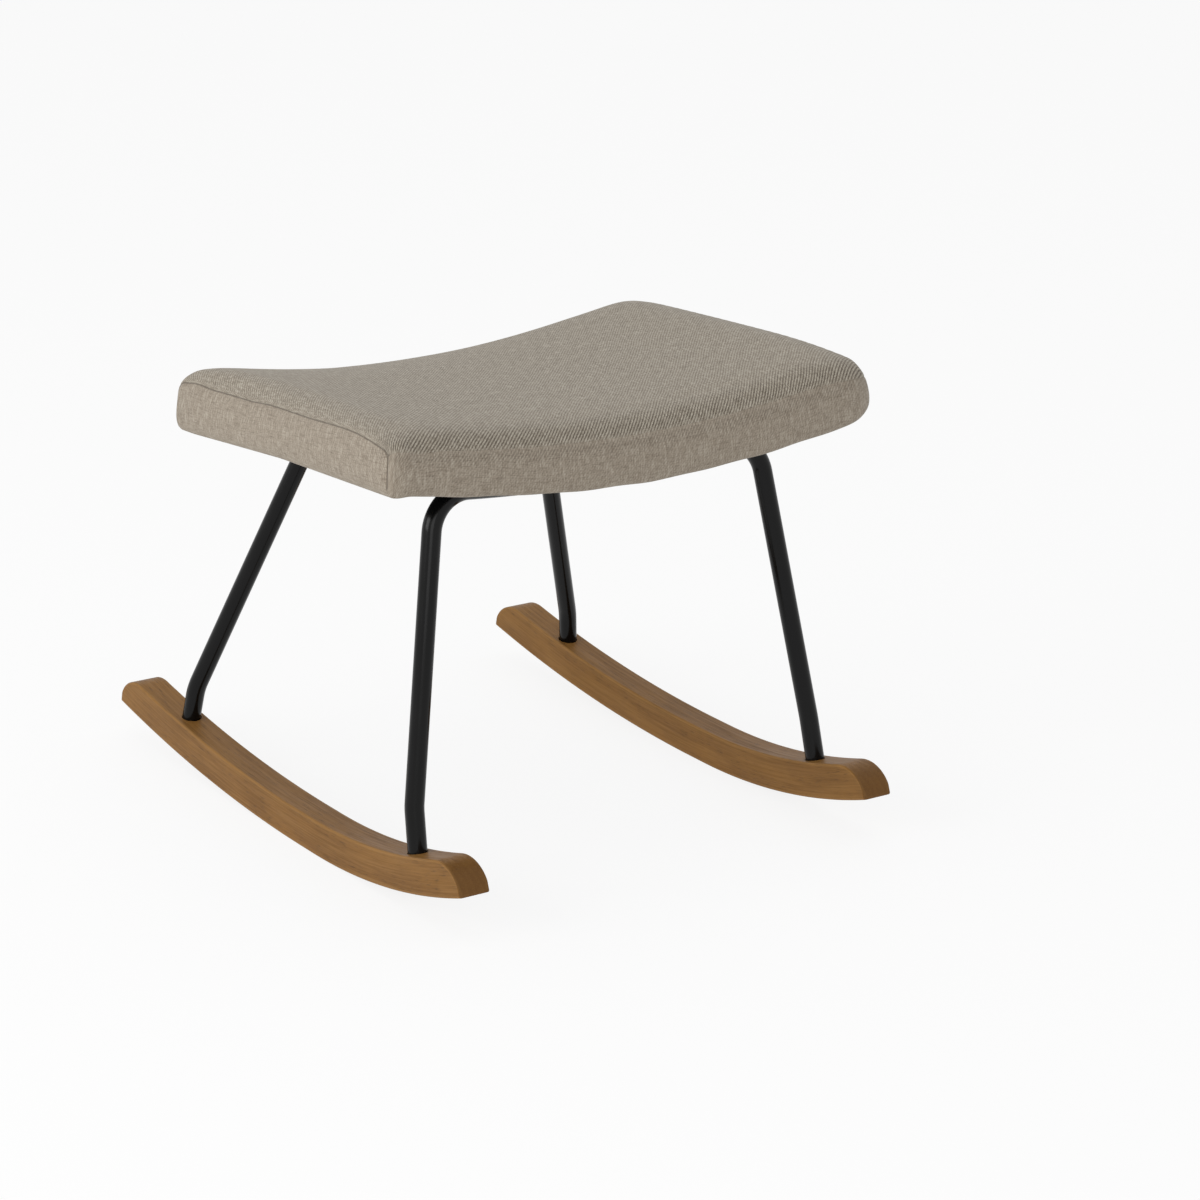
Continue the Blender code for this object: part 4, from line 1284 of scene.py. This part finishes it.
def make_dust_sheet():
    work = bmesh.new()
    layer = work.loops.layers.uv.new("cloth")
    bmesh.ops.create_grid(work, x_segments=DUST_CELLS[0], y_segments=DUST_CELLS[1], size=0.5)
    for face in work.faces:
        for loop in face.loops:
            loop[layer].uv = (loop.vert.co.x * 2 * DUST_X, loop.vert.co.y * 2 * DUST_Y)
    for vertex in work.verts:
        u, v = vertex.co.x * 2, vertex.co.y * 2
        x, y = u * DUST_X, v * DUST_Y
        loose = 1 - max(abs(u) ** 12, abs(v) ** 12)
        vertex.co = (x, y, DUST_LEVEL + DUST_WAVE * loose * math.sin(x * 70) * math.sin(y * 90))
    mesh = bpy.data.meshes.new("dust_sheet")
    work.to_mesh(mesh)
    work.free()
    return mesh


dust_mesh = make_dust_sheet()
dust_mesh.vertices.foreach_set("co", np.ravel(to_saddle(points_of(dust_mesh))))
dust_mesh.transform(seat)
dust_mesh.materials.append(make_dust_cloth())
dust_mesh.shade_smooth()
dust = add_piece("dust_sheet", dust_mesh, "dust_cloth", "dust_cover")

# %% [markdown]
# ## Hidden and small metal pieces
#
# The screws, washers, nuts and inserts are right as solids, so they only get their finish: bright zinc with
# a faint blue and yellow cast, slightly uneven. The board gets birch plywood with its glue lines.

# %% Zinc and plywood
def make_zinc():
    material, tree = new_material("zinc_plate")
    place = node(tree, "TexCoord")["Object"]
    cloud = noise(tree, place, 160)
    fine = noise(tree, place, 2200, detail=2)
    colour = mix(tree, cloud, rgb(186, 190, 196), rgb(204, 200, 184))
    rough = remap(tree, fine, 0.3, 0.7, 0.28, 0.42)
    finish(material, colour, rough, fine, bump=0.08, depth=0.0001, Metallic=1.0)
    return material


def make_plywood():
    material, tree = new_material("birch_plywood")
    place = node(tree, "TexCoord")["Object"]
    fibre = noise(tree, place, (14, 420, 420), detail=4)
    glue = node(tree, "TexWave", {"Vector": place, "Scale": 110, "Distortion": 1.2}, bands_direction="Z")[1]
    colour = mix(tree, fibre, rgb(196, 164, 120), rgb(222, 196, 156))
    colour = mix(tree, remap(tree, glue, 0.8, 1.0, 0.0, 0.3), colour, rgb(120, 84, 50))
    rough = remap(tree, fibre, 0.3, 0.7, 0.6, 0.75)
    finish(material, colour, rough, fibre, bump=0.2, depth=0.0003)
    return material


def paint(node_name, material):
    for slot in frame["nodes"][node_name].material_slots:
        slot.material = material


zinc, plywood = make_zinc(), make_plywood()
for part in frame["record"]["subparts"]:
    if part["material_slot"] == "zinc":
        paint(part["node"], zinc)
paint("seat_board", plywood)

# %% [markdown]
# ## Staples
#
# An air stapler fixes the dust cover to the board. Each staple leaves a short crown of zinc wire on the
# sheet, its two legs are driven in, and they stand round the edge about 45 mm apart, each turned a few
# degrees, as a hand leaves them. A staple here is one round wire with two bends.

# %% Staples
STAPLE_CROWN = 0.010
STAPLE_LEG = 0.0016
STAPLE_WIRE = 0.0007
STAPLE_BEND = 0.0008
STAPLE_PITCH = 0.045
STAPLE_INSET = 0.006
STAPLE_CORNER_GAP = 0.015


def staple_places():
    """(x, y, turn) of every staple round the dust cover, in the flat seat."""
    half_x, half_y = DUST_X - STAPLE_INSET, DUST_Y - STAPLE_INSET
    places = []
    for half, other, quarter in ((half_x, half_y, 0), (half_y, half_x, 1)):
        count = round((2 * half - 2 * STAPLE_CORNER_GAP) / STAPLE_PITCH)
        for k in range(count + 1):
            along = (half - STAPLE_CORNER_GAP) * (2 * k / count - 1)
            for way in (-1, 1):
                turn = 0.09 * math.sin(7.3 * k + 2.1 * way + quarter)
                aside = way * (other + 0.0008 * math.sin(5.1 * k + way))
                x, y = (aside, along) if quarter else (along, aside)
                places.append((x, y, turn + quarter * math.pi / 2))
    return places


def staple_wire():
    half, on_sheet = STAPLE_CROWN / 2, -STAPLE_WIRE / 2
    left_end, right_end = Vector((-half, 0, STAPLE_LEG)), Vector((half, 0, STAPLE_LEG))
    left_bend, right_bend = Vector((-half, 0, on_sheet)), Vector((half, 0, on_sheet))
    wire = [left_end] + rounded_corner(left_end, left_bend, right_bend, STAPLE_BEND, 4)
    wire += rounded_corner(left_bend, right_bend, right_end, STAPLE_BEND, 4) + [right_end]
    return swept_tube(wire, STAPLE_WIRE / 2, sides=8)


staples = []
for x, y, turn in staple_places():
    staple = staple_wire()
    staple.transform(seat @ under_seat(x, y) @ Matrix.Rotation(turn, 4, "Z"))
    staples.append(staple)
staple_mesh = join(staples, "staples")
staple_mesh.materials.append(zinc)
staple_mesh.shade_smooth()
add_piece("dust_cover_staples", staple_mesh, "zinc")
print("staples", len(staples))

# %% [markdown]
# ## Floor and light
#
# A plain pale floor, a large soft light from the left, weaker ones from above and in front, and a bright
# surround. In the photo the end panel on the left is the lightest face and the front the darkest, and the
# lamps are set to give that. The background is white, as in a catalogue: to the camera the floor is part
# white, part its own pale colour, so the stool's soft shadow stays.

# %% Floor
WHITE = (1, 1, 1, 1)


def seen_directly(tree):
    """1 for what the camera sees, also in a mirror or through glass, and 0 for the light on things."""
    path = node(tree, "LightPath")
    straight = calc(tree, "MAXIMUM", path["Is Camera Ray"], path["Is Glossy Ray"])
    return calc(tree, "MAXIMUM", straight, path["Is Transmission Ray"])


def make_floor():
    bpy.ops.mesh.primitive_plane_add(size=14, location=(0, 0, 0))
    floor = bpy.context.active_object
    floor.name = "floor"
    material, tree = new_material("pale_floor")
    cloud = noise(tree, node(tree, "TexCoord")["Object"], 3, detail=2)
    colour = mix(tree, cloud, (0.93, 0.93, 0.93, 1), (0.945, 0.945, 0.945, 1))
    finish(material, colour, remap(tree, cloud, 0.3, 0.7, 0.75, 0.85))
    white = node(tree, "Emission", {"Color": WHITE, "Strength": 1.0})[0]
    share = calc(tree, "MULTIPLY", seen_directly(tree), 0.85)
    surface = node(tree, "MixShader", {0: share, 1: tree.nodes["Principled BSDF"].outputs[0], 2: white})[0]
    tree.links.new(surface, tree.nodes["Material Output"].inputs["Surface"])
    floor.data.materials.append(material)


make_floor()

# %% [markdown]
# The lamps are soft boxes, each turned to a place inside the stool. Its power says how strong it is, and
# its size how soft the shadows are.

# %% Lamps and surround
def add_light(name, place, target, size, power):
    data = bpy.data.lights.new(name, "AREA")
    data.shape = "RECTANGLE"
    data.size, data.size_y = size
    data.energy = power
    lamp = bpy.data.objects.new(name, data)
    bpy.context.scene.collection.objects.link(lamp)
    lamp.location = place
    lamp.rotation_euler = (Vector(target) - Vector(place)).to_track_quat("-Z", "Y").to_euler()


add_light("key", (-3.0, 0.2, 1.5), (0, 0, 0.25), (2.0, 1.6), 37.5)
add_light("top", (-0.3, -0.2, 3.2), (0, 0, 0.2), (3.0, 3.0), 10)
add_light("fill", (-1.3, -2.0, 0.9), (0, 0, 0.25), (1.2, 1.0), 6)

world = bpy.data.worlds.new("studio")
bpy.context.scene.world = world
world.use_nodes = True
sky = world.node_tree
background = sky.nodes["Background"]
background.inputs["Color"].default_value = WHITE
background.inputs["Strength"].default_value = 0.63
white = node(sky, "Background", {"Color": WHITE, "Strength": 1.0})[0]
choice = node(sky, "MixShader", {0: seen_directly(sky), 1: background.outputs[0], 2: white})[0]
sky.links.new(choice, sky.nodes["World Output"].inputs["Surface"])
